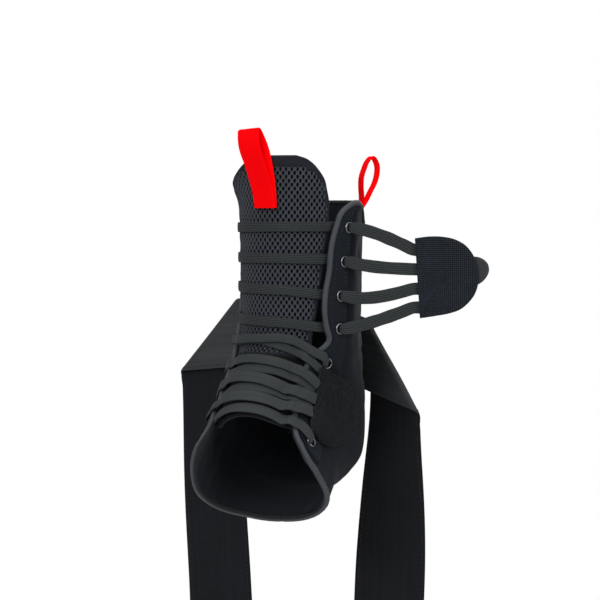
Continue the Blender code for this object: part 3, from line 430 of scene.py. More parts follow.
def quarter_grid(side, rows, columns, margin, back_margin, rear=None):
    """Stations and angles of a wall patch, kept clear of the bindings and of the back seam."""
    v = eased(rows)[:, None] * np.ones((1, columns))
    u = eased(columns)[None, :] * np.ones((rows, 1))
    sign = sign_of(side)
    angle = np.radians(60 + 120 * u)
    corner = 1 + CORNER_CLEARANCE * (np.exp(-(v / 0.05) ** 2) + np.exp(-((1 - v) / 0.06) ** 2))
    station = -1 + 1.7 * v
    for _ in range(12):
        top = collar_station(side, angle) + NOTCH_SLANT * station_step(-1.0, sign * angle, margin)
        toe = toe_station(side, angle) - TOE_SLANT * station_step(0.8, sign * angle, margin)
        station = top + v * (toe - top)
        front = throat_angle(side, station)
        front = front + angle_step(station, sign * front, margin * slant(side, station) * corner)
        back = math.pi - angle_step(station, math.pi, back_margin) if rear is None else rear(station)
        angle = front + u * (back - front)
    return station, sign * angle


def eyelet_places(side):
    for row in EYELET_ROWS:
        record = dict(zip(EYELET_COLUMNS, row))
        angle = sign_of(side) * math.radians(record[side])
        station = record[side + "_station"]
        point, normal, along, _ = form_frame(station, angle)
        base = point + normal * lift_of(side, station, angle)
        yield record["name"], base, normal, unit(along), station, angle


def ring_basis(normal, along):
    across = unit(along - np.dot(along, normal) * normal)
    return across, np.cross(normal, across)


def circle(centre, first, second, radius, sides):
    turns = 2 * math.pi * np.arange(sides) / sides
    return centre + radius * (np.cos(turns)[:, None] * first + np.sin(turns)[:, None] * second)


def tongue_edges(station):
    stations = column(TONGUE_ROWS, TONGUE_COLUMNS, "station")
    lateral = smooth_table(station, stations, column(TONGUE_ROWS, TONGUE_COLUMNS, "lateral"))
    medial = smooth_table(station, stations, column(TONGUE_ROWS, TONGUE_COLUMNS, "medial"))
    return np.radians(-medial), np.radians(lateral)


def tongue_station(height):
    return -(height - PIVOT_RISE) / (COLLAR_HEIGHT - PIVOT_RISE)


def eyelet(side, name):
    for found in eyelet_places(side):
        if found[0] == name:
            return found[1:]
    raise KeyError(name)


OVER_STAY = WALL + 2 * GAP + STAY + LACE_THICKNESS / 2 + GAP / 2
OVER_BINDING = 2 * BINDING_RADIUS + 2 * GAP + LACE_THICKNESS / 2
ON_TONGUE = LACE_THICKNESS / 2 + GAP
LACE_LAYER = LACE_THICKNESS + 2.5 * GAP


def hole_stretch(side, name, target, depth):
    """Steps of a lace from inside an eyelet's bore, out over its flange and towards a target."""
    base, normal, along, _, _ = eyelet(side, name)
    towards = target - base
    towards = unit(towards - np.dot(towards, normal) * normal)
    clear = FLANGE_TOP + LACE_THICKNESS / 2 + 1.4 * GAP
    steps = ((0.0, depth), (0.0, FLANGE_TOP * 0.5), (0.04, FLANGE_TOP), (0.22, clear),
             (0.6, clear + 0.05 * LACE_NECK), (1.15, clear))
    return [(base + sideways * EYELET_FLANGE * towards + height * normal, along)
            for sideways, height in steps]


def medial_start(lace, station, eyelet_name, layer):
    """From the medial eyelet over the binding and down to the tongue; returns the angle reached."""
    edge = -float(throat_angle("medial", station))
    step = float(angle_step(station, edge, BINDING_RADIUS))
    outside = on_form(station, edge - 1.6 * step, OVER_STAY)
    for point, across in hole_stretch("medial", eyelet_name, outside, 0.1 * WALL):
        lace.add(point, across)
    lace.add_on_form(station, edge - 1.6 * step, OVER_STAY)
    lace.add_on_form(station, edge, OVER_BINDING)
    lace.add_on_form(station, edge + 1.5 * step, 0.8 * OVER_BINDING + 0.2 * layer)
    lace.add_on_form(station, edge + 3.6 * step, ON_TONGUE + layer)
    return edge + 3.6 * step


def tab_frame():
    """Lower left corner of the open tab, its long direction and the way its face looks."""
    heading = math.radians(TAB_HEADING)
    along = np.array([math.cos(heading), math.sin(heading), 0.0])
    facing = np.array([math.sin(heading), -math.cos(heading), 0.0])
    corner = np.array([FORM_WIDTH * TAB_CORNER[0], FORM_DEPTH * TAB_CORNER[1], COLLAR_HEIGHT * TAB_CORNER[2]])
    return corner, along, facing


# Grids, tubes and small parts

def soft_noise(first, second, seed, waves=7):
    """Smooth ripple between about -1 and 1 over two coordinates given in wavelengths."""
    random = np.random.default_rng(seed)
    total = 0.0
    for _ in range(waves):
        turn = random.uniform(0, 2 * math.pi)
        pace = random.uniform(0.6, 1.6)
        phase = random.uniform(0, 2 * math.pi)
        across = first * math.cos(turn) + second * math.sin(turn)
        total = total + np.sin(2 * math.pi * pace * across + phase)
    return total / (1.2 * math.sqrt(waves))


def add_piece(name, vertices, faces, cloth, look, stands_for=(), sharp=50.0):
    """New piece of the brace.  Cloth gives each point metres across, metres along and a mask."""
    mesh = bpy.data.meshes.new(name)
    mesh.from_pydata(np.asarray(vertices, dtype=float).tolist(), [], [tuple(face) for face in faces])
    work = bmesh.new()
    work.from_mesh(mesh)
    if work.calc_volume(signed=True) < 0:
        bmesh.ops.reverse_faces(work, faces=work.faces)
    work.to_mesh(mesh)
    work.free()
    field = mesh.attributes.new("cloth", "FLOAT_VECTOR", "POINT")
    field.data.foreach_set("vector", np.asarray(cloth, dtype=np.float32).ravel())
    mesh.shade_smooth()
    mesh.set_sharp_from_angle(angle=math.radians(sharp))
    mesh.materials.append(look)
    made = bpy.data.objects.new(name, mesh)
    bpy.context.scene.collection.objects.link(made)
    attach(made, "root")
    if stands_for:
        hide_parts(*stands_for)
    return made


def metres_along(points):
    """Metres along a line of points, from its first point."""
    return np.concatenate([[0.0], np.cumsum(np.linalg.norm(np.diff(points, axis=0), axis=1))])


def curve_at(places, marks, points):
    """Smooth curve through points that lie at marks, read at other places."""
    return np.stack([smooth_table(places, marks, values) for values in points.T], axis=1)


def line_at(places, marks, points):
    """Straight runs between points that lie at marks, read at other places."""
    return np.stack([np.interp(places, marks, values) for values in points.T], axis=1)


def lattice(rows, columns):
    """Corner numbers of the squares of a grid."""
    first = (np.arange(rows - 1)[:, None] * columns + np.arange(columns - 1)[None, :]).ravel()
    return np.stack([first, first + 1, first + columns + 1, first + columns], axis=1)


def closed_wall(inner, outer):
    """Vertices and faces of a closed wall between two grids of points of the same size."""
    rows, columns = inner.shape[:2]
    squares = lattice(rows, columns)
    top = rows * columns
    numbers = np.arange(top).reshape(rows, columns)
    rim = np.concatenate([numbers[0], numbers[1:, -1], numbers[-1, -2::-1], numbers[-2:0:-1, 0]])
    after = np.roll(rim, -1)
    sides = np.stack([after, rim, top + rim, top + after], axis=1)
    faces = np.concatenate([squares, squares[:, ::-1] + top, sides]).tolist()
    return np.concatenate([inner.reshape(-1, 3), outer.reshape(-1, 3)]), faces


def measure(points):
    """Metres across and along a grid of points."""
    down = np.linalg.norm(np.diff(points, axis=0), axis=2)
    across = np.linalg.norm(np.diff(points, axis=1), axis=2)
    along = np.concatenate([np.zeros((1, points.shape[1])), np.cumsum(down, axis=0)])
    sideways = np.concatenate([np.zeros((points.shape[0], 1)), np.cumsum(across, axis=1)], axis=1)
    return sideways - sideways[:, points.shape[1] // 2][:, None], along


def rim_distance(points):
    """Rough distance of each point of a grid from the grid's edge, in metres."""
    sideways, along = measure(points)
    left, right = sideways - sideways[:, :1], sideways[:, -1:] - sideways
    return np.minimum(np.minimum(left, right), np.minimum(along - along[:1], along[-1:] - along))


def soft_edge(distance, radius, least=0.15):
    """Share of the full thickness at a distance from the edge of a rounded cloth."""
    share = np.clip(distance / radius, 0.0, 1.0)
    return least + (1 - least) * np.sqrt(1 - (1 - share) ** 2)


def wall_piece(name, inner, outer, look, stands_for, mask=None, inner_painted_shade=None, sharp=60.0):
    vertices, faces = closed_wall(inner, outer)
    sideways, along = measure(outer)
    # Masks of the inner and the outer face, which the looks use for painted shade.
    masks = [np.zeros_like(along) if inner_painted_shade is None else inner_painted_shade * np.ones_like(along),
             np.zeros_like(along) if mask is None else mask * np.ones_like(along)]
    cloth = np.concatenate([np.stack([sideways, along, value], axis=2).reshape(-1, 3) for value in masks])
    return add_piece(name, vertices, faces, cloth, look, stands_for, sharp)


SPIKE_TURNS = (0.0, 2.094, 4.189)


def tube_faces(count, sides, closed=False, caps=True):
    faces = []
    for i in range(count if closed else count - 1):
        following = (i + 1) % count
        for k in range(sides):
            after = (k + 1) % sides
            faces.append((i * sides + k, i * sides + after, following * sides + after, following * sides + k))
    if caps and not closed:
        faces.append(tuple(reversed(range(sides))))
        faces.append(tuple(range((count - 1) * sides, count * sides)))
    return faces


def spike_loop(centre, width, first, second):
    """Three corners round the centre of each of many thin spikes."""
    corners = [centre + width * (math.cos(a) * first + math.sin(a) * second) for a in SPIKE_TURNS]
    return np.stack(corners, axis=-2)


def spike_faces(rings, count):
    """Faces of spikes that have so many three-cornered rings each, one spike after the other."""
    size = 3 * rings
    single = np.array(tube_faces(rings, 3, caps=False))
    faces = (single[None] + size * np.arange(count)[:, None, None]).reshape(-1, 4).tolist()
    faces += [(size * k + 2, size * k + 1, size * k) for k in range(count)]
    return faces + [(size * (k + 1) - 3, size * (k + 1) - 2, size * (k + 1) - 1) for k in range(count)]


def tube_cloth(loops, mask=0.0):
    """Metres round and along a tube of loops of points."""
    loops = np.asarray(loops)
    centre = loops.mean(axis=1)
    along = metres_along(centre)
    step = np.linalg.norm(np.roll(loops, -1, axis=1) - loops, axis=2)
    round_it = np.concatenate([np.zeros((len(loops), 1)), np.cumsum(step, axis=1)[:, :-1]], axis=1)
    whole = np.broadcast_to(along[:, None], round_it.shape)
    return np.stack([round_it, whole, np.broadcast_to(mask, round_it.shape)], axis=2).reshape(-1, 3)


def resample(points, count):
    marks = metres_along(points)
    places = np.linspace(0.0, marks[-1], count)
    return line_at(places, marks, points), places


def smooth_line(values, passes):
    """Rounds the corners of a line of points and keeps its ends."""
    for _ in range(passes):
        middle = 0.25 * values[:-2] + 0.5 * values[1:-1] + 0.25 * values[2:]
        values = np.concatenate([values[:1], middle, values[-1:]])
    return values


def stitch_rows(name, lines, look, length, gap, radius):
    """Short thread stitches along lines, each line given as its points and outward directions."""
    vertices, faces, cloth = [], [], []
    sides, shares = 6, np.array([0.0, 0.14, 0.5, 0.86, 1.0])
    swell, rise = np.array([0.35, 0.9, 1.0, 0.9, 0.35]), np.array([-0.9, 0.25, 0.45, 0.25, -0.9])
    turns = 2 * math.pi * np.arange(sides) / sides
    for points, outward in lines:
        marks = metres_along(points)
        starts = np.arange(0.5 * gap, marks[-1] - length, length + gap)
        for start in starts:
            places = start + length * shares
            line = line_at(places, marks, points)
            up = unit(line_at(places, marks, outward))
            line = line + up * (radius * rise)[:, None]
            tangent = unit(np.gradient(line, axis=0))
            side = unit(np.cross(tangent, up))
            lifted = np.cross(side, tangent)
            first = len(vertices)
            loops = [line + radius * swell[:, None] * (math.cos(a) * side + math.sin(a) * lifted)
                     for a in turns]
            vertices.extend(np.stack(loops, axis=1).reshape(-1, 3))
            faces.extend([tuple(first + k for k in face) for face in tube_faces(len(shares), sides)])
            cloth.extend([(0.002 * turn, place, 0.0) for place in places for turn in turns])
    return add_piece(name, vertices, faces, cloth, look, sharp=80.0)


def form_line(station, angle, offset):
    """Points and outward directions of a line on the form."""
    point, normal, _, _ = form_frame(station, angle)
    return point + normal * np.broadcast_to(offset, point.shape[:-1])[..., None], normal


# The boot: quarters, eyestays, bindings, eyelets and back tape

def stay_rear(side, station):
    return smooth_table(station, column(STAY_ROWS, STAY_COLUMNS, "station"),
                        column(STAY_ROWS, STAY_COLUMNS, side))


def patch_edge(name, station):
    return smooth_table(station, column(PATCH_ROWS, PATCH_COLUMNS, "station"),
                        column(PATCH_ROWS, PATCH_COLUMNS, name))


def quarter_relief(side, station, angle):
    """Soft puckers and folds of a quarter, as outward metres."""
    degrees = np.degrees(np.abs(angle))
    behind = (degrees - stay_rear(side, station)) / 14.0
    upper = 1 - smoothstep(station, 0.05, 0.20)
    valley = (-0.0007 * np.exp(-((behind - 0.12) / 0.20) ** 2)
              + 0.0005 * np.exp(-((behind - 0.75) / 0.35) ** 2))
    free = smoothstep(behind, 0.0, 0.5) * (1 - smoothstep(degrees, 160.0, 168.0))
    if side == "lateral":
        covered = smoothstep(station, 0.10, 0.17) * (1 - smoothstep(station, 0.66, 0.72))
        free = free * (1 - covered * (1 - smoothstep(degrees, 98.0, 106.0)))
        fan = np.clip((station + 0.90) / 0.22, 0.0, 1.0)
        darts = sum(np.exp(-((degrees - NOTCH_ANGLE - start - spread * fan) / 1.7) ** 2)
                    for start, spread in ((-7.0, -9.0), (-2.0, -2.0), (3.5, 5.0)))
        darts = -0.0007 * darts * (1 - smoothstep(station, -0.80, -0.62)) * smoothstep(station, -0.97, -0.90)
    else:
        darts = 0.0
    ankle = np.exp(-((station - 0.06) / 0.16) ** 2)
    folds = -0.0008 * ankle * np.maximum(np.sin(2 * math.pi * (station * 9.0 + 0.012 * (degrees - 110))),
                                         0.0) ** 2
    heel = 0.0005 * smoothstep(station, 0.15, 0.3) * soft_noise(degrees / 30.0, station * 5.0, 12)
    ripple = 0.0003 * soft_noise(degrees / 18.0, station * 6.0, 3 if side == "lateral" else 4)
    return valley * upper + free * (folds + heel + ripple) + darts


RING_BORE = 0.0027


def hole_cutter(side):
    vertices, faces = [], []
    radius, sides = RING_BORE + 0.0004, 20
    for _, base, normal, along, _, _ in eyelet_places(side):
        first, second = ring_basis(normal, along)
        start = len(vertices)
        for height in (-0.004, WALL + STAY + 0.004):
            vertices.extend(circle(base + height * normal, first, second, radius, sides).tolist())
        faces.extend([tuple(start + k for k in face) for face in tube_faces(2, sides)])
    mesh = bpy.data.meshes.new(side + "_hole_cutter")
    mesh.from_pydata(vertices, [], faces)
    work = bmesh.new()
    work.from_mesh(mesh)
    bmesh.ops.recalc_face_normals(work, faces=work.faces)
    work.to_mesh(mesh)
    work.free()
    made = bpy.data.objects.new(side + "_hole_cutter", mesh)
    bpy.context.scene.collection.objects.link(made)
    return made


def cut_holes(piece, cutter):
    modifier = piece.modifiers.new("eyelet holes", "BOOLEAN")
    modifier.operation = "DIFFERENCE"
    modifier.solver = "EXACT"
    modifier.object = cutter
    evaluated = piece.evaluated_get(bpy.context.evaluated_depsgraph_get())
    mesh = bpy.data.meshes.new_from_object(evaluated)
    piece.modifiers.clear()
    piece.data = mesh
    mesh.set_sharp_from_angle(angle=math.radians(50))
    if "cloth" not in mesh.attributes:
        raise RuntimeError("the cut piece has lost its cloth measure")


def build_quarter(side, cutter, look):
    station, angle = quarter_grid(side, 150, 84, 0.5 * BINDING_RADIUS, 0.0)
    raised = lift_of(side, station, angle) + quarter_relief(side, station, angle)
    inner, outer = on_form(station, angle, raised), on_form(station, angle, raised + WALL)
    # The inner face gets the full mask, painted shade for the dark inside of the boot.
    made = wall_piece(side + "_quarter_cloth", inner, outer, look, [side + "_quarter"], inner_painted_shade=1.0)
    cut_holes(made, cutter)
    return made


def stay_grid(side, rows, columns, margin, inset=0.0):
    def rear(station):
        degrees = np.radians(stay_rear(side, station))
        return degrees - angle_step(station, sign_of(side) * degrees, inset)

    station, angle = quarter_grid(side, rows, columns, margin, 0.0, rear)
    keep = station[:, 0] < STAY_ROWS[-1][0]
    return station[keep], angle[keep]


def build_eyestay(side, cutter, look):
    station, angle = stay_grid(side, 170, 30, 0.6 * BINDING_RADIUS)
    raised = lift_of(side, station, angle) + WALL + 0.3 * GAP
    flat = on_form(station, angle, raised)
    ripple = 0.00012 * soft_noise(np.degrees(angle) / 9.0, station * 14.0, 21)
    thick = (STAY + 0.7 * GAP) * soft_edge(rim_distance(flat), 0.0012) + ripple
    made = wall_piece(side + "_eyestay_cloth", flat, on_form(station, angle, raised + thick), look,
                      [side + "_eyestay"])
    cut_holes(made, cutter)
    return made


STAY_STITCH_INSETS = (0.0016, 0.0034)


def stay_stitch_lines(side):
    """Twin rows beside the rear edge and one beside the binding."""
    lines = []
    top = WALL + STAY + GAP
    for inset in STAY_STITCH_INSETS:
        station, angle = stay_grid(side, 200, 6, 0.6 * BINDING_RADIUS, inset)
        rear_station, rear_angle = station[4:-3, -1], angle[4:-3, -1]
        lines.append(form_line(rear_station, rear_angle, lift_of(side, rear_station, rear_angle) + top))
    station, angle = stay_grid(side, 200, 6, 1.9 * BINDING_RADIUS)
    front_station, front_angle = station[4:-3, 0], angle[4:-3, 0]
    lines.append(form_line(front_station, front_angle, lift_of(side, front_station, front_angle) + top))
    return lines


def binding_route(side):
    """Stations and angles of the binding's centre line, in even steps with rounded corners."""
    end = math.pi - 0.004
    corner = float(throat_angle(side, COLLAR_TOP))
    collar = np.linspace(end, corner, 120, endpoint=False)
    throat = np.linspace(COLLAR_TOP, 1.0, 320)
    throat = throat[throat < toe_station(side, throat_angle(side, throat)) - 0.012]
    toe = np.linspace(float(throat_angle(side, throat[-1])) + 0.04, end, 120)
    station = np.concatenate([collar_station(side, collar), throat, toe_station(side, toe)])
    angle = np.concatenate([collar, throat_angle(side, throat), toe])
    route = smooth_line(np.stack([station, angle], axis=1), 10)
    return route[:, 0], sign_of(side) * route[:, 1]


def build_binding(side, look):
    station, angle = binding_route(side)
    offset = lift_of(side, station, angle) + BINDING_RADIUS
    _, normal, _, _ = form_frame(station, angle)
    centre, _ = resample(on_form(station, angle, offset), 460)
    outward, _ = resample(normal, 460)
    centre = smooth_line(centre, 3)
    places = np.linspace(0.0, 1.0, len(centre))
    radius = BINDING_RADIUS * (1 + 0.035 * soft_noise(places * 60.0, places * 0.0, 31))
    tangent = unit(np.gradient(centre, axis=0))
    sideways = unit(np.cross(tangent, outward))
    up = np.cross(sideways, tangent)
    turns = 2 * math.pi * (np.arange(18) + 0.5) / 18
    flat = 1 - 0.10 * np.cos(2 * turns)
    loops = np.stack([centre + radius[:, None] * (1.04 * f * math.cos(a) * sideways + f * math.sin(a) * up)
                      for a, f in zip(turns, flat)], axis=1)
    # Painted shade: the mask darkens the half of the tape that faces into the boot, and the tape round the
    # back of the collar.
    inward = smoothstep(-np.sin(turns), 0.0, 0.5)[None, :] * np.ones((len(loops), 1))
    rear = smoothstep(np.interp(places, np.linspace(0, 1, len(angle)), np.abs(angle)), math.radians(84),
                      math.radians(92))
    rear = rear * (np.interp(places, np.linspace(0, 1, len(station)), station) < -0.5)
    mask = np.maximum(inward, rear[:, None])
    return add_piece(side + "_binding_tape", loops.reshape(-1, 3), tube_faces(len(loops), 18),
                     tube_cloth(loops, mask), look, [side + "_binding"])


def binding_stitch_line(side):
    station, angle = binding_route(side)
    offset = lift_of(side, station, angle) + BINDING_RADIUS
    points, normal = form_line(station, angle, offset)
    tangent = unit(np.gradient(points, axis=0))
    inwards = unit(np.cross(tangent, normal))
    middle = on_form(-0.2, sign_of(side) * math.radians(100.0), 0.0)
    if np.dot(inwards[len(points) // 3], middle - points[len(points) // 3]) < 0:
        inwards = -inwards
    outward = unit(0.62 * inwards + 0.78 * normal)
    return points + 1.02 * BINDING_RADIUS * outward, outward


RING_SIDES = 40
LIP_OUTWARDS = 0.00040
LIP_HALF_WIDTH = 0.00046
LIP_RISE = 0.00055


def build_eyelets(side, look):
    """Rolled rings with a barrel through the cloth."""
    top = FLANGE_TOP - FLANGE_THICKNESS
    middle = RING_BORE + LIP_OUTWARDS
    arc = np.linspace(math.pi, 0.0, 9)
    profile = [(RING_BORE + 0.0002, 0.0002), (RING_BORE, 0.0002), (RING_BORE, top - 0.0002)]
    profile += [(middle + LIP_HALF_WIDTH * math.cos(a), top + LIP_RISE * math.sin(a)) for a in arc]
    profile += [(middle, top - 0.0001), (RING_BORE + 0.0002, top - 0.0004)]
    for name, base, normal, along, _, _ in eyelet_places(side):
        first, second = ring_basis(normal, along)
        loops = np.stack([circle(base + height * normal, first, second, radius, RING_SIDES)
                          for radius, height in profile])
        node = side + "_eyelet_" + name
        add_piece(node + "_ring", loops.reshape(-1, 3), tube_faces(len(loops), RING_SIDES, closed=True),
                  tube_cloth(loops), look, [node])


def build_back_tape(look):
    station, _ = quarter_grid("lateral", 150, 2, 0.9 * BINDING_RADIUS, 0.0)
    station = station[:, 1:] * np.ones((1, 24))
    half = angle_step(station, math.pi, TAPE_WIDTH / 2)
    angle = math.pi + half * np.linspace(-1, 1, 24)[None, :]
    base = WALL + 0.4 * GAP
    flat = on_form(station, angle, base)
    thick = (TAPE + 1.6 * GAP) * soft_edge(rim_distance(flat), 0.0008, 0.3)
    return wall_piece("back_seam_tape_woven", flat, on_form(station, angle, base + thick), look,
                      ["back_seam_tape"])


TAPE_STITCH_INSET = 0.0018


def tape_stitch_lines():
    lines = []
    station, _ = quarter_grid("lateral", 200, 2, 0.9 * BINDING_RADIUS, 0.0)
    station = station[3:-3, 1]
    for side in (-1, 1):
        angle = math.pi + side * angle_step(station, math.pi, TAPE_WIDTH / 2 - TAPE_STITCH_INSET)
        lines.append(form_line(station, angle, WALL + 2 * GAP + TAPE))
    return lines


# Laces

# How far the end of each upper lace lies behind the tab's face.
LACE_BEHIND = 0.0004

# Share of the usual width that each lower lace has on the tongue.
SPREAD_ROWS = (
    ("1_over", 0.92), ("1_under", 0.84), ("2_over", 1.00), ("2_under", 1.00),
    ("3_over", 1.22), ("3_under", 1.10), ("4_over", 1.24), ("4_under", 1.34),
)

# How far each upper lace bows upwards between its lateral eyelet and the tab, in metres.
BOW_ROWS = (("upper_1", 0.0016), ("upper_2", -0.0012), ("upper_3", -0.0028), ("upper_4", -0.0012))


class Lace:
    """Route of a lace: its points, and at each the direction of its width."""

    def __init__(self):
        self.points = []
        self.across = []
        self.wide_from = None
        self.spread = 1.0
        self.flat = False

    def add(self, point, across):
        self.points.append(point)
        self.across.append(across)

    def add_on_form(self, station, angle, offset):
        point, normal, along, _ = form_frame(station, angle)
        self.add(point + offset * normal, unit(along))

    def build(self, name, sizes, look, holes, seed):
        points, across = np.array(self.points), np.array(self.across)
        marks = metres_along(points)
        count = int(marks[-1] / 0.0008)
        places = np.linspace(0, marks[-1], count)
        path = curve_at(places, marks, points)
        path = smooth_line(path, 2)
        hint = unit(curve_at(places, marks, across))
        near = np.full(count, 1.0)
        for hole in holes:
            near = np.minimum(near, np.linalg.norm(path - hole, axis=1))
        open_share = smoothstep(near, 0.25 * EYELET_FLANGE, 1.55 * EYELET_FLANGE)
        narrow = LACE_NECK * 1.5
        full = sizes.lace_width * self.spread
        if self.wide_from is not None:
            start = marks[self.wide_from]
            wider = sizes.stretched_lace_width - full
            full = full + wider * smoothstep(places, start - 0.002, start + 0.004)
        width = narrow + (full - narrow) * open_share
        width = width * (1 + 0.025 * soft_noise(places / 0.016, places * 0.0, seed))
        thickness = LACE_THICKNESS * (1.5 - 0.5 * open_share)
        deep = 0.2 if self.flat else 0.55
        loops = braid_loops(path, hint, width, thickness, sizes.lace_ribs, deep)
        # The mask is the place across the width, which the look uses to paint shade in the grooves between
        # ribs and on the edges.
        mask = np.abs(braid_sections(sizes.lace_ribs, deep)[:, 0])
        if self.flat:
            # Flat laces: the mask is folded into one rib, which sets how their painted groove shade repeats
            # and how deep it goes.
            half_rib = 1 / sizes.lace_ribs
            mask = np.where(mask > 0.84, mask, half_rib + 0.8 * (mask % (2 * half_rib) - half_rib))
        mask = np.tile(mask, (len(loops), 1))
        return add_piece(name + "_braid", loops.reshape(-1, 3), tube_faces(*loops.shape[:2]),
                         tube_cloth(loops, mask), look, [name], 70.0)


def braid_sections(ribs, deep):
    """Outline of a flat braid across its width, as shares of its half width and half thickness."""
    steps = 4 * ribs
    share = np.linspace(-1, 1, steps + 1)
    groove = 1 - deep + deep * np.abs(np.sin(math.pi * ribs * (share + 1) / 2)) ** 0.6
    crown = (1 - np.abs(share) ** 3.2) ** 0.5
    upper = np.stack([share, crown * groove], axis=1)
    lower = np.stack([share[::-1], -(crown * groove)[::-1]], axis=1)
    return np.concatenate([upper[:-1], lower[:-1]])


def braid_loops(path, across, width, thickness, ribs, deep):
    tangent = unit(np.gradient(path, axis=0))
    across = unit(across - np.sum(across * tangent, axis=1, keepdims=True) * tangent)
    normal = np.cross(across, tangent)
    width, thickness = np.asarray(width)[:, None] / 2, np.asarray(thickness)[:, None] / 2
    return np.stack([path + a * width * across + b * thickness * normal
                     for a, b in braid_sections(ribs, deep)], axis=1)


def build_upper_lace(row, sizes, look):
    record = dict(zip(UPPER_LACE_COLUMNS, row))
    name = record["name"]
    lace = Lace()
    start = medial_start(lace, record["medial"], name, 0.0)
    base, normal, along, hole_station, hole_angle = eyelet("lateral", name)
    step = float(angle_step(hole_station, hole_angle, BINDING_RADIUS))
    finish = hole_angle - 3.4 * step
    for angle in np.linspace(start, finish, 18)[1:]:
        places = (record["medial"], record["crown"], record["lateral"])
        lace.add_on_form(float(np.interp(math.degrees(angle), LACE_MARKS, places)), angle, ON_TONGUE)
    back = unit(np.cross(normal, along))
    if np.dot(back, on_form(hole_station, hole_angle + 0.2, 0.0) - base) < 0:
        back = -back
    low = ON_TONGUE - FLAP_LIFT - GAP / 2
    for sideways, height in ((-2.4, low), (-1.3, low), (-0.42, 0.5 * low), (-0.05, 0.25 * FLANGE_TOP),
                             (0.0, 0.6 * FLANGE_TOP), (0.05, FLANGE_TOP),
                             (0.45, FLANGE_TOP + EYELET_BORE * 0.75)):
        lace.add(base + sideways * EYELET_BORE * back + height * normal, along)
    lace.wide_from = len(lace.points) - 1
    corner, along_tab, facing_tab = tab_frame()
    end = corner + np.array([0, 0, TAB_HEIGHT * record["tab_share"]]) - LACE_BEHIND * facing_tab
    near = end - 0.002 * along_tab
    last = lace.points[-1]
    bow = dict(BOW_ROWS)[name]
    for share in (0.12, 0.25, 0.4, 0.55, 0.7, 0.85, 1.0):
        raised = np.array([0, 0, bow * math.sin(math.pi * share ** 0.8)])
        lace.add(last + share * (near - last) + raised, np.array([0.0, 0.0, -1.0]))
    lace.add(end + 0.0045 * along_tab, np.array([0.0, 0.0, -1.0]))
    return lace.build("upper_lace_" + name[-1], sizes, look, (lace.points[0], base), 40 + int(name[-1]))


def build_lower_lace(row, sizes, look):
    record = dict(zip(LOWER_LACE_COLUMNS, row))
    over = record["layer"] == "over"
    layer = LACE_LAYER if over else 0.0
    stations, angles = np.array(record["stations"]), np.radians(record["angles"])
    lace = Lace()
    lace.spread, lace.flat = dict(SPREAD_ROWS)[record["name"]], True
    holes = []
    if over:
        medial_start(lace, stations[0], "lower_" + record["name"][0], layer)
        holes.append(lace.points[0])
    else:
        edge = -float(throat_angle("medial", stations[0]))
        for shift, height in ((1.2, 0.4 * ON_TONGUE), (1.9, ON_TONGUE)):
            angle = edge + float(angle_step(stations[0], edge, shift * BINDING_RADIUS))
            lace.add_on_form(stations[0], angle, height)
        holes.append(lace.points[0])
    lateral_edge = float(throat_angle("lateral", stations[3]))
    side_step = float(angle_step(stations[3], lateral_edge, BINDING_RADIUS))
    finish = lateral_edge - 4.2 * side_step
    for angle in np.linspace(angles[0] if not over else angles[0] + 0.1, finish, 9)[1:]:
        lace.add_on_form(float(smooth_table(angle, angles, stations)), angle, ON_TONGUE + layer)
    outside = OVER_STAY + (2 * GAP if over else GAP)
    for shift, height in ((-2.3, 0.92 * OVER_BINDING), (0.0, OVER_BINDING), (1.7, outside)):
        angle = lateral_edge + shift * side_step
        lace.add_on_form(float(smooth_table(angle, angles, stations)), angle, height + layer)
    if record["eyelet"]:
        stretch = hole_stretch("lateral", record["eyelet"], lace.points[-2], 0.25 * WALL)
        for point, across in reversed(stretch[:-1]):
            lace.add(point, across)
        holes.append(lace.points[-1])
    else:
        lace.add_on_form(stations[3], angles[3], FLANGE_TOP + layer + LACE_THICKNESS / 2)
    return lace.build("lower_lace_" + record["name"], sizes, look, holes, 60 + LOWER_LACE_ROWS.index(row))


# The tongue: padded body with a rolled border, and the open mesh panel on it

PANEL_CORNER = 0.009
PANEL_COVER = 0.0011


def front_arc():
    """Angle and metres across the front of the form, measured at one level."""
    angle = np.radians(np.linspace(-100.0, 85.0, 371))
    points = form_base(np.full_like(angle, -0.6), angle)
    metres = metres_along(points)
    return angle, metres - np.interp(0.0, angle, metres)


def panel_depth(station, angle):
    """Metres inside the mesh panel's outline, below zero outside it."""
    low, high = tongue_edges(station)
    arc_angle, arc = front_arc()
    medial = np.maximum(low, -math.radians(MESH_MEDIAL_LIMIT))
    left = np.interp(medial, arc_angle, arc) + 0.62 * MESH_SIDE_MARGIN
    right = np.interp(high, arc_angle, arc) - 0.80 * MESH_SIDE_MARGIN
    across = np.interp(angle, arc_angle, arc)
    pitch = COLLAR_HEIGHT - PIVOT_RISE
    below_top = (station - tongue_station(TONGUE_TOP - MESH_TOP_MARGIN)) * pitch
    above_end = (MESH_END_STATION - station) * pitch
    sideways = np.minimum(across - left, right - across)
    upright = np.minimum(below_top, above_end)
    corner = np.hypot(np.maximum(PANEL_CORNER - sideways, 0), np.maximum(PANEL_CORNER - upright, 0))
    return np.where(corner > 0, PANEL_CORNER - corner, np.minimum(sideways, upright))


def flare_of(station, angle):
    low, _ = tongue_edges(station)
    flare = smooth_table(station, column(TONGUE_ROWS, TONGUE_COLUMNS, "station"),
                         column(TONGUE_ROWS, TONGUE_COLUMNS, "flare"))
    return flare * smoothstep(angle / low, 0.5, 1.0)


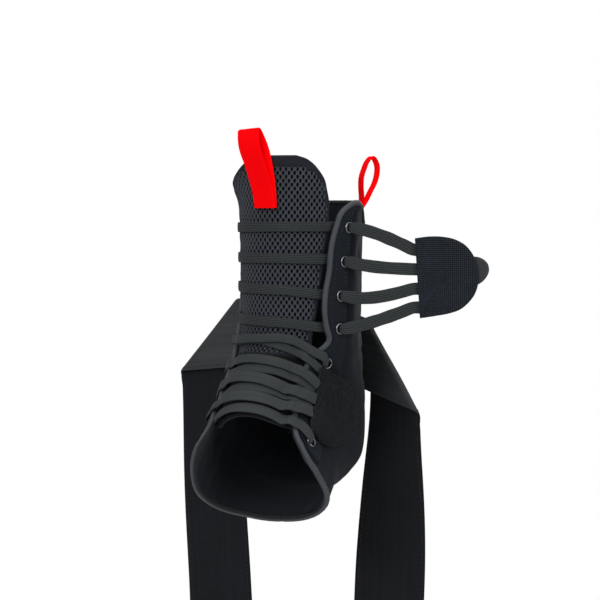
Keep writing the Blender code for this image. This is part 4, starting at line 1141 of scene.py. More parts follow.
def build_tongue(look):
    top, end = tongue_station(TONGUE_TOP), TONGUE_ROWS[-1][0]
    rows = np.concatenate([top + 0.05 * np.linspace(0, 1, 22) ** 1.6,
                           np.linspace(top + 0.05, end - 0.07, 190)[1:]])
    low, high = tongue_edges(rows)
    turn = np.linspace(0, math.pi, 104)
    share = 0.75 * (1 - np.cos(turn)) / 2 + 0.25 * turn / math.pi
    angle = low[:, None] * (1 - share) + high[:, None] * share
    corner = np.abs(2 * share - 1)[None, :] ** 3 * smoothstep(rows, end - 0.36, end - 0.07)[:, None]
    station = rows[:, None] - 0.085 * corner
    depth = panel_depth(station, angle)
    flat = on_form(station, angle, 0.0)
    edge = rim_distance(flat)
    base = flare_of(station, angle) - (2 * GAP + TONGUE_MESH)
    border = (TONGUE_MESH + 1.6 * GAP) * (1 - smoothstep(depth, -0.0002, 0.0009))
    border = border * (1 - smoothstep(station, MESH_END_STATION + 0.03, MESH_END_STATION + 0.12))
    seam = -0.0005 * np.exp(-((depth + 0.0006) / 0.0005) ** 2)
    quilt = 0.00022 * soft_noise(np.degrees(angle) / 16.0, station * 6.0, 51)
    pull = -0.0004 * sum(np.exp(-((station - row[2]) / 0.022) ** 2) for row in UPPER_LACE_ROWS)
    front = base + border + seam + quilt + pull * (1 - smoothstep(depth, 0.0, 0.002))
    thickness = (TONGUE_PAD + front - base) * soft_edge(edge, 0.0021, 0.1)
    middle = (front + base - TONGUE_PAD) / 2
    # The mask paints shade where the mesh panel lies over the pad and on the lower tongue under the lower
    # laces.
    made = wall_piece("tongue_pad", on_form(station, angle, middle - thickness / 2),
                      on_form(station, angle, middle + thickness / 2), look, ["tongue"],
                      mask=np.maximum(smoothstep(depth, 0.0, 0.0015), 0.8 * smoothstep(station, 0.05, 0.11)))
    return made


def panel_place(across, below):
    """Station and angle of a place on the mesh panel, in metres across and below its top."""
    arc_angle, arc = front_arc()
    return tongue_station(TONGUE_TOP - MESH_TOP_MARGIN - below), np.interp(across, arc, arc_angle)


def build_mesh_panel(sizes, look):
    """Knitted mesh as linked strands round staggered upright holes."""
    wide, high = sizes.mesh_pitch, sizes.mesh_row
    rim = [(-.5, -.5), (-.25, -.5), (0, -.5), (.25, -.5), (.5, -.5), (.5, 0), (.5, .5), (.25, .5), (0, .5),
           (-.25, .5), (-.5, .5), (-.5, 0)]
    turns = [math.atan2(b * 1.25, a) for a, b in rim]
    rounds = ((0.84, -0.00004), (0.70, -0.00028), (0.69, -0.00095))
    rows, columns = int(0.131 / high), int(0.115 / wide)
    number, places, faces, edges = {}, [], [], {}

    def point(key, across, below, height):
        if key not in number:
            number[key] = len(places)
            places.append((across, below, height))
        return number[key]

    for i in range(rows):
        for j in range(-columns // 2, columns // 2 + 1):
            across, below = (j + 0.5 * (i % 2)) * wide, (i + 0.5) * high
            station, angle = panel_place(across, below)
            if panel_depth(station, angle) < -PANEL_COVER * 0.4:
                continue
            corners = [(int(round(4 * (j + 0.5 * (i % 2) + a))), int(round(2 * (i + 0.5 + b))))
                       for a, b in rim]
            loops = []
            for side, height in (("front", None), ("back", -TONGUE_MESH)):
                loop = []
                for (a, b), key in zip(rim, corners):
                    crest = 0.00016 * math.cos(math.pi * a * 2) ** 2 if height is None else 0.0
                    loop.append(point((side, *key), across + a * wide, below + b * high,
                                      crest if height is None else height))
                loops.append(loop)
            inner = []
            for k, (size, height) in enumerate(rounds):
                inner.append([point((i, j, k, m), across + 0.5 * size * wide * math.cos(turn) * 0.60,
                                    below + 0.5 * size * high * 1.62 * math.sin(turn), height)
                              for m, turn in enumerate(turns)])
            rings = [loops[0], *inner, loops[1]]
            for first, second in zip(rings, rings[1:]):
                for k in range(12):
                    after = (k + 1) % 12
                    faces.append((first[k], first[after], second[after], second[k]))
            for k in range(12):
                after = (k + 1) % 12
                pair = (loops[0][k], loops[0][after])
                edges[pair] = (loops[1][k], loops[1][after])
    for (a, b), (c, d) in edges.items():
        if (b, a) not in edges:
            faces.append((b, a, c, d))
    values = np.array(places)
    station, angle = panel_place(values[:, 0], values[:, 1])
    height = flare_of(station, angle) - GAP + values[:, 2]
    points = on_form(station, angle, height)
    # The third value is 1 on the strands' crests and 0 deep in the holes: the look paints shade down the
    # holes from it.
    cloth = np.stack([values[:, 0], values[:, 1], smoothstep(values[:, 2], -0.0006, 0.0001)], axis=1)
    return add_piece("tongue_mesh_knit", points, faces, cloth, look, ["tongue_mesh"], 80.0)


TONGUE_STITCH_INSET = 0.0024
TONGUE_STITCH_DEPTH = 0.00065


def tongue_stitch_lines():
    """A row of stitches along each edge of the tongue."""
    lines = []
    rows = np.linspace(tongue_station(TONGUE_TOP - 0.004), 0.8, 260)
    low, high = tongue_edges(rows)
    for edge, sign in ((low, 1), (high, -1)):
        angle = edge + sign * angle_step(rows, edge, TONGUE_STITCH_INSET)
        lines.append(form_line(rows, angle, flare_of(rows, angle) - TONGUE_STITCH_DEPTH))
    return lines


# Red loops, the open tab, its grip and the fuzzy patch

def webbing_path(rows, base_height, rise, opening, angle, turn):
    """Route of a loop that is sewn on at its two ends and twisted a little above its base."""
    lace = Lace()
    for row in rows:
        record = dict(zip(LOOP_COLUMNS, row))
        point, normal, _, around = form_frame(tongue_station(base_height + record["rise"] * rise), angle)
        turned = math.radians(turn) * float(smoothstep(record["rise"], 0.12, 0.30))
        across = math.cos(turned) * unit(around) - math.sin(turned) * normal
        lace.add(point + record["stand_off"] * opening * normal, across)
    points, across = np.array(lace.points), np.array(lace.across)
    marks = metres_along(points)
    places = np.linspace(0, marks[-1], 170)
    path = curve_at(places, marks, points)
    hint = curve_at(places, marks, across)
    return smooth_line(path, 4), unit(hint)


def flat_sections(columns):
    """Outline of a flat band with round edges, as shares of its half width and half thickness."""
    turn = np.linspace(0, math.pi, columns)
    share = -(0.6 * np.cos(turn) + 0.4 * (1 - 2 * turn / math.pi))
    crown = 0.25 + 0.75 * (1 - np.abs(share) ** 12) ** 0.5
    upper = np.stack([share, crown], axis=1)
    return np.concatenate([upper, upper[::-1] * [1, -1]])


def build_webbing(name, path, across, width, thickness, look, square=True):
    tangent = unit(np.gradient(path, axis=0))
    if square:
        across = unit(across - np.sum(across * tangent, axis=1, keepdims=True) * tangent)
    normal = unit(np.cross(across, tangent))
    sections = flat_sections(14)
    loops = np.stack([path + a * width / 2 * across + b * thickness / 2 * normal for a, b in sections],
                     axis=1)
    cloth = tube_cloth(loops)
    cloth[:, 0] = np.tile(sections[:, 0] * width / 2, len(path))
    cloth[:, 2] = np.tile(np.abs(sections[:, 0]), len(path))
    return add_piece(name + "_webbing", loops.reshape(-1, 3), tube_faces(*loops.shape[:2]), cloth, look,
                     [name])


# Centre line of the tongue's pull loop in metres: to the lateral side, up and outwards from its base.
LEANING_LOOP_ROWS = (
    (0.0020, 0.0000, 0.0019),
    (0.0007, 0.0096, 0.0024),
    (-0.0015, 0.0193, 0.0038),
    (-0.0036, 0.0283, 0.0056),
    (-0.0054, 0.0334, 0.0064),
    (-0.0072, 0.0399, 0.0066),
    (-0.0082, 0.0460, 0.0058),
    (-0.0087, 0.0486, 0.0049),
    (-0.0088, 0.0495, 0.0041),
    (-0.0086, 0.0489, 0.0032),
    (-0.0072, 0.0450, 0.0016),
    (-0.0040, 0.0366, 0.0006),
    (-0.0014, 0.0270, 0.0007),
    (0.0002, 0.0186, 0.0007),
    (0.0014, 0.0090, 0.0008),
    (0.0020, 0.0004, 0.0008),
)
LEANING_LOOP_WIDTH = 0.0160
CREASE_TILT = 0.075


def leaning_loop():
    """The bands of the tongue's loop, cut level at the base and creased at the top."""
    angle = math.radians(TONGUE_LOOP_ANGLE)
    base, normal, _, around = form_frame(tongue_station(TONGUE_LOOP_BASE * TONGUE_TOP), angle)
    around = unit(around * [1, 1, 0])
    rows = np.array(LEANING_LOOP_ROWS)
    marks = metres_along(rows)
    places = np.linspace(0, marks[-1], 190)
    route = smooth_line(curve_at(places, marks, rows), 2)
    points = base + route[:, :1] * around + route[:, 2:] * normal + route[:, 1:2] * np.array([0, 0, 1])
    tilt = CREASE_TILT * (route[:, 1:2] / rows[:, 1].max()) ** 3
    return points, unit(around + tilt * np.array([0, 0, 1]))


def build_loops(look):
    path, across = leaning_loop()
    build_webbing("tongue_pull_loop", path, across, LEANING_LOOP_WIDTH, LOOP_THICKNESS, look, square=False)
    path, across = webbing_path(REAR_LOOP_ROWS, REAR_LOOP_BASE * COLLAR_HEIGHT, REAR_LOOP_RISE,
                                REAR_LOOP_OPENING, math.radians(REAR_LOOP_ANGLE), REAR_LOOP_TURN)
    build_webbing("rear_pull_loop", path, across, REAR_LOOP_WIDTH, LOOP_THICKNESS, look)


# Outline of the open tab as shares of its length and height, from its lower left corner.
TAB_OUTLINE = (
    (0.050, 0.020), (0.30, 0.048), (0.540, 0.082), (0.70, 0.125), (0.84, 0.210), (0.94, 0.310),
    (0.995, 0.430), (1.000, 0.560), (0.970, 0.700), (0.910, 0.800), (0.80, 0.905), (0.62, 0.985),
    (0.42, 1.018), (0.20, 1.022), (-0.034, 1.000),
)
TAB_BOW = 0.0006
GRIP_OUTLINE = (
    (0.00, 0.02), (0.30, 0.00), (0.62, 0.08), (0.88, 0.28), (1.00, 0.52), (0.95, 0.76), (0.70, 0.95),
    (0.35, 1.00), (0.00, 0.96),
)


def closed_outline(rows, length, height, count, closing):
    """Smooth line through shares of a length and a height, closed by a straight run."""
    points = np.array(rows) * [length, height]
    marks = metres_along(points)
    outline = curve_at(np.linspace(0.0, marks[-1], count), marks, points)
    return np.concatenate([outline, np.linspace(outline[-1], outline[0], closing)[1:-1]])


def inset_outline(outline, distance):
    closed = np.concatenate([outline[-1:], outline, outline[:1]])
    before, after = unit(closed[1:-1] - closed[:-2]), unit(closed[2:] - closed[1:-1])
    turn = unit(before + after)
    corner = np.maximum(np.sum(turn * before, axis=1), 0.6)
    return outline + (distance / corner)[:, None] * np.stack([-turn[:, 1], turn[:, 0]], axis=1)


def build_plate(name, outline, origin, right, facing, thickness, bow, look, stands_for):
    """Cushioned plate: the outline in the plane of right and +Z, with round edges and a slight bow."""
    up = np.array([0.0, 0.0, 1.0])
    rounds = [(0.0030, 0.0), (0.0018, 0.0), (0.0008, 0.04), (0.0003, 0.14), (0.0, 0.35), (0.0, 0.65),
              (0.0003, 0.86), (0.0008, 0.96), (0.0018, 1.0), (0.0030, 1.0)]
    middle = outline.mean(axis=0)
    reach = np.abs(outline[:, 0]).max()
    rings, cloth = [], []
    inner = inset_outline(outline, 0.0030)
    flats = [inner * share + middle * (1 - share) for share in (0.06, 0.35, 0.65, 0.85)]
    edges = [(inset_outline(outline, inset), level) for inset, level in rounds]
    loops = [(ring, 0.0) for ring in flats] + edges + [(ring, 1.0) for ring in reversed(flats)]
    for ring, level in loops:
        bend = bow * (1 - ((ring[:, 0] - middle[0]) / (0.5 * reach)) ** 2)
        depth = level * thickness + bend
        rings.append(origin + ring[:, :1] * right + ring[:, 1:] * up + depth[:, None] * facing)
        cloth.append(np.stack([ring[:, 0], ring[:, 1], np.full(len(ring), level)], axis=1))
    rings = np.array(rings)
    return add_piece(name, rings.reshape(-1, 3), tube_faces(*rings.shape[:2]), np.concatenate(cloth), look,
                     stands_for, 60.0)


def build_tab(look, grip_look):
    corner, along, facing = tab_frame()
    outline = closed_outline(TAB_OUTLINE, TAB_LENGTH, TAB_HEIGHT, 120, 40)
    build_plate("upper_tab_woven", outline, corner, along, facing, TAB_THICKNESS, TAB_BOW, look,
                ["upper_tab"])
    start = corner + along * (TAB_LENGTH - GRIP_LENGTH) - facing * (0.4 * GAP + GRIP_THICKNESS)
    rise = (TAB_HEIGHT - GRIP_HEIGHT) * GRIP_RISE_SHARE + 0.0008
    start = start + np.array([0.0, 0.0, rise]) - 0.0014 * along
    grip = closed_outline(GRIP_OUTLINE, 2 * GRIP_LENGTH, GRIP_HEIGHT, 70, 16)
    build_plate("upper_tab_grip_moulded", grip, start, along, facing, GRIP_THICKNESS, 0.0, grip_look,
                ["upper_tab_grip"])


def tab_stitch_lines():
    """Rows of stitches just inside the tab's edge, one of them doubled beside the laces."""
    corner, along, facing = tab_frame()
    outline = closed_outline(TAB_OUTLINE, TAB_LENGTH, TAB_HEIGHT, 120, 40)
    up = np.array([0.0, 0.0, 1.0])
    lines = []
    for inset, part in ((0.0021, slice(2, 119)), (0.0024, slice(120, 158)), (0.0040, slice(120, 158))):
        ring = inset_outline(outline, inset)[part]
        reach = np.abs(outline[:, 0]).max()
        bend = TAB_BOW * (1 - ((ring[:, 0] - outline.mean(axis=0)[0]) / (0.5 * reach)) ** 2)
        points = corner + ring[:, :1] * along + ring[:, 1:] * up + (TAB_THICKNESS + bend)[:, None] * facing
        lines.append((points, np.tile(facing, (len(points), 1))))
    return lines


PATCH_REACH = 4.5
FIBRE_COUNT = 4200
FIBRE_RADIUS = 0.00009


def build_patch(look, seed=81):
    """Fuzzy landing patch: a lumpy pile with loose fibres standing out of it."""
    rows = np.linspace(PATCH_ROWS[0][0], PATCH_ROWS[-1][0], 120)[:, None]
    front, rear = patch_edge("front", rows) - PATCH_REACH, patch_edge("rear", rows)
    angle = np.radians(front + (rear - front) * np.linspace(0, 1, 110)[None, :])
    station = rows * np.ones((1, 110))
    base = FLANGE_TOP + 0.6 * GAP
    sideways, _ = measure(on_form(station, angle, base))
    base = base + 0.0012 * (1 - smoothstep(sideways - sideways[:, :1], 0.002, 0.009))
    flat = on_form(station, angle, base)
    edge = rim_distance(flat)
    sideways, along = measure(flat)
    lumps = (0.5 * soft_noise(sideways / 0.0035, along / 0.0035, seed)
             + 0.5 * soft_noise(sideways / 0.0016, along / 0.0016, seed + 1))
    thick = PATCH_PILE * soft_edge(edge, 0.0014, 0.2) + 0.00055 * lumps * smoothstep(edge, 0.0, 0.001)
    # The mask follows the lumps, so the look paints shade in the hollows between them.
    made = wall_piece("lower_tab_pile", flat, on_form(station, angle, base + thick), look, ["lower_tab"],
                      mask=0.5 + 0.5 * lumps)
    random = np.random.default_rng(seed)
    count = FIBRE_COUNT
    share, place = random.uniform(0.01, 0.99, count), random.uniform(0.0, 1.0, count)
    root_station = PATCH_ROWS[0][0] + (PATCH_ROWS[-1][0] - PATCH_ROWS[0][0]) * share
    lean = np.radians(patch_edge("front", root_station) * (1 - place)
                      + patch_edge("rear", root_station) * place)
    root, normal, step, around = form_frame(root_station, lean)
    root = root + (FLANGE_TOP + 0.8 * PATCH_PILE) * normal
    tangent = unit(random.normal(size=(count, 1)) * unit(step)
                   + random.normal(size=(count, 1)) * unit(around))
    length = random.uniform(0.0007, 0.0018, count)[:, None]
    loops = []
    for t in (0.0, 0.4, 0.75, 1.0):
        centre = root + length * (t * (1 - 0.45 * t)) * normal * 0.55 + length * (0.85 * t * t) * tangent
        width = FIBRE_RADIUS * (1 - 0.55 * t)
        third = np.cross(normal, tangent)
        loops.append(spike_loop(centre, width, tangent, third))
    points = np.stack(loops, axis=1)
    cloth = np.tile(np.stack([0.036 * lean, 0.09 * root_station, random.uniform(0.3, 1, count)],
                             axis=1)[:, None, :], (1, 12, 1))
    add_piece("lower_tab_fibres", points.reshape(-1, 3), spike_faces(4, count), cloth.reshape(-1, 3), look,
              sharp=90.0)
    return made


# Straps

# Small hooks of the hook patches: share of the rise, share of the reach and share of the radius.
HOOK_BENDS = ((0.0, 0.0, 1.0), (0.5, 0.1, 0.7), (0.9, 0.45, 0.6), (1.0, 0.9, 0.5), (0.8, 1.25, 0.3))
HOOK_RISE = 0.00045
HOOK_REACH = 0.00035
HOOK_RADIUS = 0.00013
STRAP_STITCH_INSET = 0.0022


class Strap:
    """A flat strap: its place for a length along it and a height across it."""

    def __init__(self, row):
        self.value = dict(zip(STRAP_COLUMNS, row))
        self.sign = sign_of(self.value["side"])
        self.droop = math.radians(self.value["droop"])
        low = self.value["root_rise"] - STRAP_WIDTH / 2
        depth = max(back_depth(low), back_depth(self.value["root_rise"])) + GAP + STRAP_THICKNESS / 2
        fine = np.linspace(-0.03, 0.25, 561)
        share = np.clip(fine / STRAP_TURN_LENGTH, 0, 1)
        share = share * share * (3 - 2 * share) * 0.5 + share * 0.5
        heading = np.radians(self.value["root_heading"]
                             + (self.value["heading"] - self.value["root_heading"]) * share)
        step = fine[1] - fine[0]
        x = np.cumsum(np.cos(heading)) * step
        y = np.cumsum(np.sin(heading)) * step
        start = int(round(0.03 / step))
        self.fine, self.heading = fine, heading
        self.x, self.y = self.sign * (x - x[start]), depth + y - y[start]
        cos, sin = math.cos(self.droop), math.sin(self.droop)
        self.crease = np.array([cos, -1 - sin]) / math.hypot(1 + sin, cos)
        self.across_crease = np.array([-self.crease[1], self.crease[0]])
        self.centre = np.array([self.value["crease_at"],
                                self.value["root_rise"] - self.value["crease_at"] * math.tan(self.droop)])
        self.to_crease = self.value["crease_at"] / cos

    def flat(self, length, across):
        """Unrolled place: distance round the boot and height."""
        cos, sin = math.cos(self.droop), math.sin(self.droop)
        return np.stack([length * cos + across * sin,
                         self.value["root_rise"] - length * sin + across * cos], axis=-1)

    def beyond(self, length, across):
        return (self.flat(length, across) - self.centre) @ self.across_crease

    def point(self, length, across):
        flat = self.flat(length, across) - self.centre
        along = flat @ self.crease
        beyond = flat @ self.across_crease
        half_turn = math.pi * FOLD_RADIUS
        on_fold = np.clip(beyond, 0, half_turn) / FOLD_RADIUS
        past = np.maximum(beyond - half_turn, 0)
        moved = np.where(beyond < 0, beyond, FOLD_RADIUS * np.sin(on_fold) - past)
        depth = np.where(beyond < 0, 0.0, FOLD_RADIUS * (1 - np.cos(on_fold)))
        flat = self.centre + along[..., None] * self.crease + moved[..., None] * self.across_crease
        sideways, height = flat[..., 0], flat[..., 1]
        hanging = smoothstep(beyond, half_turn, 2 * half_turn)
        drop = np.maximum(self.centre[1] - 0.3 * STRAP_WIDTH - height, 0.0) * hanging
        twist = math.radians(self.value["twist"]) * smoothstep(drop, 0.0, TWIST_LENGTH)
        offset = sideways - self.centre[0]
        slide = -math.tan(math.radians(self.value["lean"])) * drop
        heading = np.interp(sideways, self.fine, self.heading)
        plain = np.stack([np.interp(sideways, self.fine, self.x) - self.sign * np.sin(heading) * depth,
                          np.interp(sideways, self.fine, self.y) + np.cos(heading) * depth], axis=-1)
        axis_heading = np.radians(self.value["heading"])
        centre = np.array([np.interp(self.centre[0], self.fine, self.x),
                           np.interp(self.centre[0], self.fine, self.y)])
        behind = np.array([-self.sign * math.sin(axis_heading), math.cos(axis_heading)])
        right = np.array([self.sign * math.cos(axis_heading), math.sin(axis_heading)])
        turned = np.cos(twist)[..., None] * right + np.sin(twist)[..., None] * np.array([-right[1], right[0]])
        hung = centre + offset[..., None] * turned + depth[..., None] * behind + slide[..., None] * right
        plan = np.where((drop > 0)[..., None], hung, plain)
        return np.concatenate([plan, height[..., None]], axis=-1)

    def surface(self, length, across):
        """Middle of the cloth with its slow ripples, and the cloth's own outward direction."""
        step = 2e-4
        along = self.point(length + step, across) - self.point(length - step, across)
        side = self.point(length, across + step) - self.point(length, across - step)
        normal = unit(np.cross(along, side))
        past = self.beyond(length, across) - math.pi * FOLD_RADIUS
        free = smoothstep(past, 0.0, 0.06)
        seed = 91 if self.sign > 0 else 92
        wave = 0.0016 * np.sin(2 * math.pi * (past / 0.19 + across / 0.16 * self.sign)) * free
        wave = wave + 0.0007 * soft_noise(length / 0.07, across / 0.05, seed) * (0.25 + 0.75 * free)
        curl = 0.0010 * (2 * across / STRAP_WIDTH) ** 2 * free
        root = smoothstep(length, 0.004, 0.03)
        return self.point(length, across) + ((wave + self.sign * curl) * root)[..., None] * normal, normal

    def rows(self):
        """Lengths of the cross lines, with how far each is slanted towards the crease."""
        ratio = self.across_crease
        cos, sin = math.cos(self.droop), math.sin(self.droop)
        slope = (ratio[0] * sin + ratio[1] * cos) / (ratio[0] * cos - ratio[1] * sin)
        unit_length = 1 / (ratio[0] * cos - ratio[1] * sin)
        half_turn = math.pi * FOLD_RADIUS
        tan = math.tan(self.droop)
        lines = [(self.to_crease * share, tan + (slope - tan) * share) for share in np.linspace(0, 0.86, 34)]
        lines += [(self.to_crease + beyond * half_turn * unit_length, slope)
                  for beyond in np.linspace(-1.0, 2.0, 31)]
        start = lines[-1][0]
        for share in np.linspace(0, 1, 120)[1:]:
            lines.append((start + (STRAP_LENGTH - start) * share, slope * max(1 - 2.2 * share, 0.0)))
        return np.array(lines)

    def slab(self, ending, rear, front, length, across, look, stands_for):
        """Closed piece between two faces, its mask 0 on the rear and 1 on the front face."""
        vertices, faces = closed_wall(rear, front)
        cloth = [np.stack([across, length, np.full_like(length, face)], axis=2).reshape(-1, 3)
                 for face in (0.0, 1.0)]
        side = self.value["side"]
        return add_piece(side + ending, vertices, faces, np.concatenate(cloth), look, [side + stands_for],
                         60.0)

    def build(self, look, hook_look):
        turn = np.linspace(0, math.pi, 30)
        share = -(0.5 * np.cos(turn) + 0.5 * (1 - 2 * turn / math.pi))
        across = STRAP_WIDTH / 2 * share[None, :]
        lines = self.rows()
        length = lines[:, :1] - lines[:, 1:] * across
        across = across * np.ones_like(length)
        middle, normal = self.surface(length, across)
        edge = np.minimum(STRAP_WIDTH / 2 - np.abs(across), STRAP_LENGTH + 1e-6 - length)
        half = STRAP_THICKNESS / 2 * soft_edge(edge, 0.0009, 0.2)[..., None] * normal
        rear, front = middle - self.sign * half, middle + self.sign * half
        made = self.slab("_strap_cloth", rear, front, length, across, look, "_strap")
        self.build_hooks(hook_look)
        return made

    def build_hooks(self, look):
        """Hook patch near the free end: a plate with rows of small hooks."""
        side = self.value["side"]
        length = STRAP_LENGTH - 0.001 - HOOK_PATCH_LENGTH * np.linspace(1, 0, 40)[:, None] * np.ones((1, 36))
        across = (STRAP_WIDTH / 2 - HOOK_PATCH_MARGIN) * np.linspace(-1, 1, 36)[None, :] * np.ones((40, 1))
        middle, normal = self.surface(length, across)
        low = self.sign * (STRAP_THICKNESS / 2 + 0.3 * GAP)
        edge = rim_distance(middle)
        high = low + self.sign * 0.7 * HOOK_PATCH_THICKNESS * soft_edge(edge, 0.0008, 0.3)
        rear, front = middle + low * normal, middle + high[..., None] * normal
        made = self.slab("_strap_hooks", rear, front, length, across, look, "_strap_hook_patch")
        length, across = np.meshgrid(np.arange(0.0012, HOOK_PATCH_LENGTH - 0.001, 0.0016),
                                     np.arange(-STRAP_WIDTH / 2 + 0.0036, STRAP_WIDTH / 2 - 0.0036, 0.0015),
                                     indexing="ij")
        length = STRAP_LENGTH - 0.001 - HOOK_PATCH_LENGTH + length
        middle, normal = self.surface(length, across)
        step = 2e-4
        along = unit(self.point(length + step, across) - self.point(length - step, across))
        out = self.sign * normal
        root = middle + (abs(low) + 0.6 * HOOK_PATCH_THICKNESS) * out
        count = root[..., 0].size
        loops = []
        for lift_share, lean, width in HOOK_BENDS:
            centre = root + HOOK_RISE * lift_share * out + HOOK_REACH * lean * along
            third = np.cross(out, along)
            loops.append(spike_loop(centre, HOOK_RADIUS * width, along, third).reshape(count, 3, 3))
        points = np.stack(loops, axis=1)
        add_piece(side + "_strap_hook_rows", points.reshape(-1, 3), spike_faces(len(HOOK_BENDS), count),
                  np.zeros((3 * len(HOOK_BENDS) * count, 3)), look, sharp=90.0)
        return made

    def stitch_lines(self):
        lines = []
        for edge in (-1, 1):
            length = np.linspace(0.006, STRAP_LENGTH - 0.004, 420)
            across = edge * (STRAP_WIDTH / 2 - STRAP_STITCH_INSET) * np.ones_like(length)
            for face in (-1, 1):
                middle, normal = self.surface(length, across)
                lines.append((middle + face * STRAP_THICKNESS / 2 * normal, face * normal))
        return lines


def back_depth(height):
    """Y of the boot's back, over its seam tape, at a height."""
    station = np.linspace(-1.0, 0.35, 80)
    points = on_form(station, np.full(80, math.pi), WALL + 2 * GAP + TAPE)
    order = np.argsort(points[:, 2])
    return float(np.interp(height, points[order, 2], points[order, 1]))


# Finishes

class Graph:
    """Short way to place and link the nodes of one material or group."""

    def __init__(self, tree):
        self.tree = tree

    def add(self, kind, inputs=None, **settings):
        made = self.tree.nodes.new(kind)
        made.location = (220 * (len(self.tree.nodes) % 6), -180 * (len(self.tree.nodes) // 6))
        for key, value in settings.items():
            setattr(made, key, value)
        for key, value in (inputs or {}).items():
            self.feed(made.inputs[key], value)
        return made

    def feed(self, socket, value):
        if isinstance(value, bpy.types.NodeSocket):
            self.tree.links.new(value, socket)
        else:
            socket.default_value = value

    def math(self, operation, first, second=0.0, third=0.0, clamp=False):
        inputs = {0: first, 1: second, 2: third}
        return self.add("ShaderNodeMath", inputs, operation=operation, use_clamp=clamp).outputs[0]

    def times(self, first, second):
        return self.math("MULTIPLY", first, second)

    def noise(self, vector, scale, detail):
        inputs = {"Vector": vector, "Scale": scale, "Detail": detail}
        return self.add("ShaderNodeTexNoise", inputs).outputs[0]

    def blend(self, share, first, second):
        made = self.add("ShaderNodeMix", data_type="RGBA")
        self.feed(made.inputs[0], share)
        self.feed(made.inputs[6], first)
        self.feed(made.inputs[7], second)
        return made.outputs[2]

    def remap(self, value, low, high, new_low=0.0, new_high=1.0):
        inputs = {"Value": value, "From Min": low, "From Max": high, "To Min": new_low, "To Max": new_high}
        return self.add("ShaderNodeMapRange", inputs).outputs[0]


def start_group(name, inputs, outputs):
    """Empty shader group with named sockets; inputs are (name, kind, default)."""
    group = bpy.data.node_groups.new(name, "ShaderNodeTree")
    for title, kind, default in inputs:
        socket = group.interface.new_socket(title, in_out="INPUT", socket_type=kind)
        if default is not None:
            socket.default_value = default
    for title, kind in outputs:
        group.interface.new_socket(title, in_out="OUTPUT", socket_type=kind)
    graph = Graph(group)
    return graph, graph.add("NodeGroupInput").outputs, graph.add("NodeGroupOutput").inputs


FLOAT, VECTOR = "NodeSocketFloat", "NodeSocketVector"


def woven_group():
    """Plain weave of crossing threads: height of the cloth and shade between its threads."""
    name = "crossing threads"
    if name in bpy.data.node_groups:
        return bpy.data.node_groups[name]
    graph, given, made = start_group(name, [("Cloth", VECTOR, None), ("Across", FLOAT, 1200.0),
                                            ("Along", FLOAT, 1200.0), ("Wander", FLOAT, 0.3)],
                                     [("Height", FLOAT), ("Shade", FLOAT), ("Grid", FLOAT)])
    apart = graph.add("ShaderNodeSeparateXYZ", {0: given["Cloth"]}).outputs
    wander = graph.noise(given["Cloth"], 260.0, 2.0)
    drift = graph.times(graph.math("SUBTRACT", wander, 0.5), given["Wander"])
    across = graph.math("ADD", graph.times(apart[0], given["Across"]), drift)
    along = graph.math("ADD", graph.times(apart[1], given["Along"]), drift)
    first = graph.math("SINE", graph.times(across, math.pi))
    second = graph.math("SINE", graph.times(along, math.pi))
    over = graph.remap(graph.times(first, second), -0.15, 0.15)
    high = graph.math("ABSOLUTE", first)
    low = graph.math("ABSOLUTE", second)
    height = graph.math("ADD", graph.times(high, over),
                        graph.times(low, graph.math("SUBTRACT", 1.0, over)))
    graph.feed(made["Height"], height)
    graph.feed(made["Shade"], graph.math("POWER", height, 0.6))
    graph.feed(made["Grid"], graph.times(high, low))
    return graph.tree


def ribbed_group():
    """Even ribs along one direction of the cloth, broken up into single stitches."""
    name = "knitted ribs"
    if name in bpy.data.node_groups:
        return bpy.data.node_groups[name]
    graph, given, made = start_group(name, [("Cloth", VECTOR, None), ("Ribs", FLOAT, 900.0),
                                            ("Stitches", FLOAT, 700.0), ("Slant", FLOAT, 0.5),
                                            ("Turned", FLOAT, 0.0)],
                                     [("Height", FLOAT), ("Shade", FLOAT)])
    apart = graph.add("ShaderNodeSeparateXYZ", {0: given["Cloth"]}).outputs
    straight = graph.math("SUBTRACT", 1.0, given["Turned"])
    across = graph.math("ADD", graph.times(apart[0], straight), graph.times(apart[1], given["Turned"]))
    along = graph.math("ADD", graph.times(apart[1], straight), graph.times(apart[0], given["Turned"]))
    rib = graph.math("SINE", graph.times(graph.times(across, given["Ribs"]), math.pi))
    rise = graph.math("ABSOLUTE", rib)
    lean = graph.times(graph.times(rise, given["Slant"]), graph.math("SIGN", rib))
    stitch = graph.math("SINE",
                        graph.times(graph.math("ADD", graph.times(along, given["Stitches"]), lean), math.pi))
    height = graph.math("MULTIPLY_ADD", graph.math("ABSOLUTE", stitch), 0.35, graph.times(rise, 0.65))
    graph.feed(made["Height"], height)
    graph.feed(made["Shade"], graph.math("POWER", height, 0.7))
    return graph.tree


def mottle_group():
    """Slow and fine unevenness of a dyed cloth, with a share of pale flecks."""
    name = "uneven dye"
    if name in bpy.data.node_groups:
        return bpy.data.node_groups[name]
    graph, given, made = start_group(name, [("Cloth", VECTOR, None), ("Patches", FLOAT, 60.0),
                                            ("Grain", FLOAT, 1500.0), ("Flecks", FLOAT, 0.3)],
                                     [("Tone", FLOAT), ("Fleck", FLOAT)])
    slow = graph.noise(given["Cloth"], given["Patches"], 3.0)
    fine = graph.noise(given["Cloth"], given["Grain"], 2.0)
    graph.feed(made["Tone"], graph.math("ADD", graph.times(slow, 0.5), graph.times(fine, 0.5)))
    spot = graph.remap(fine, 0.54, 0.64)
    graph.feed(made["Fleck"], graph.times(spot, given["Flecks"]))
    return graph.tree


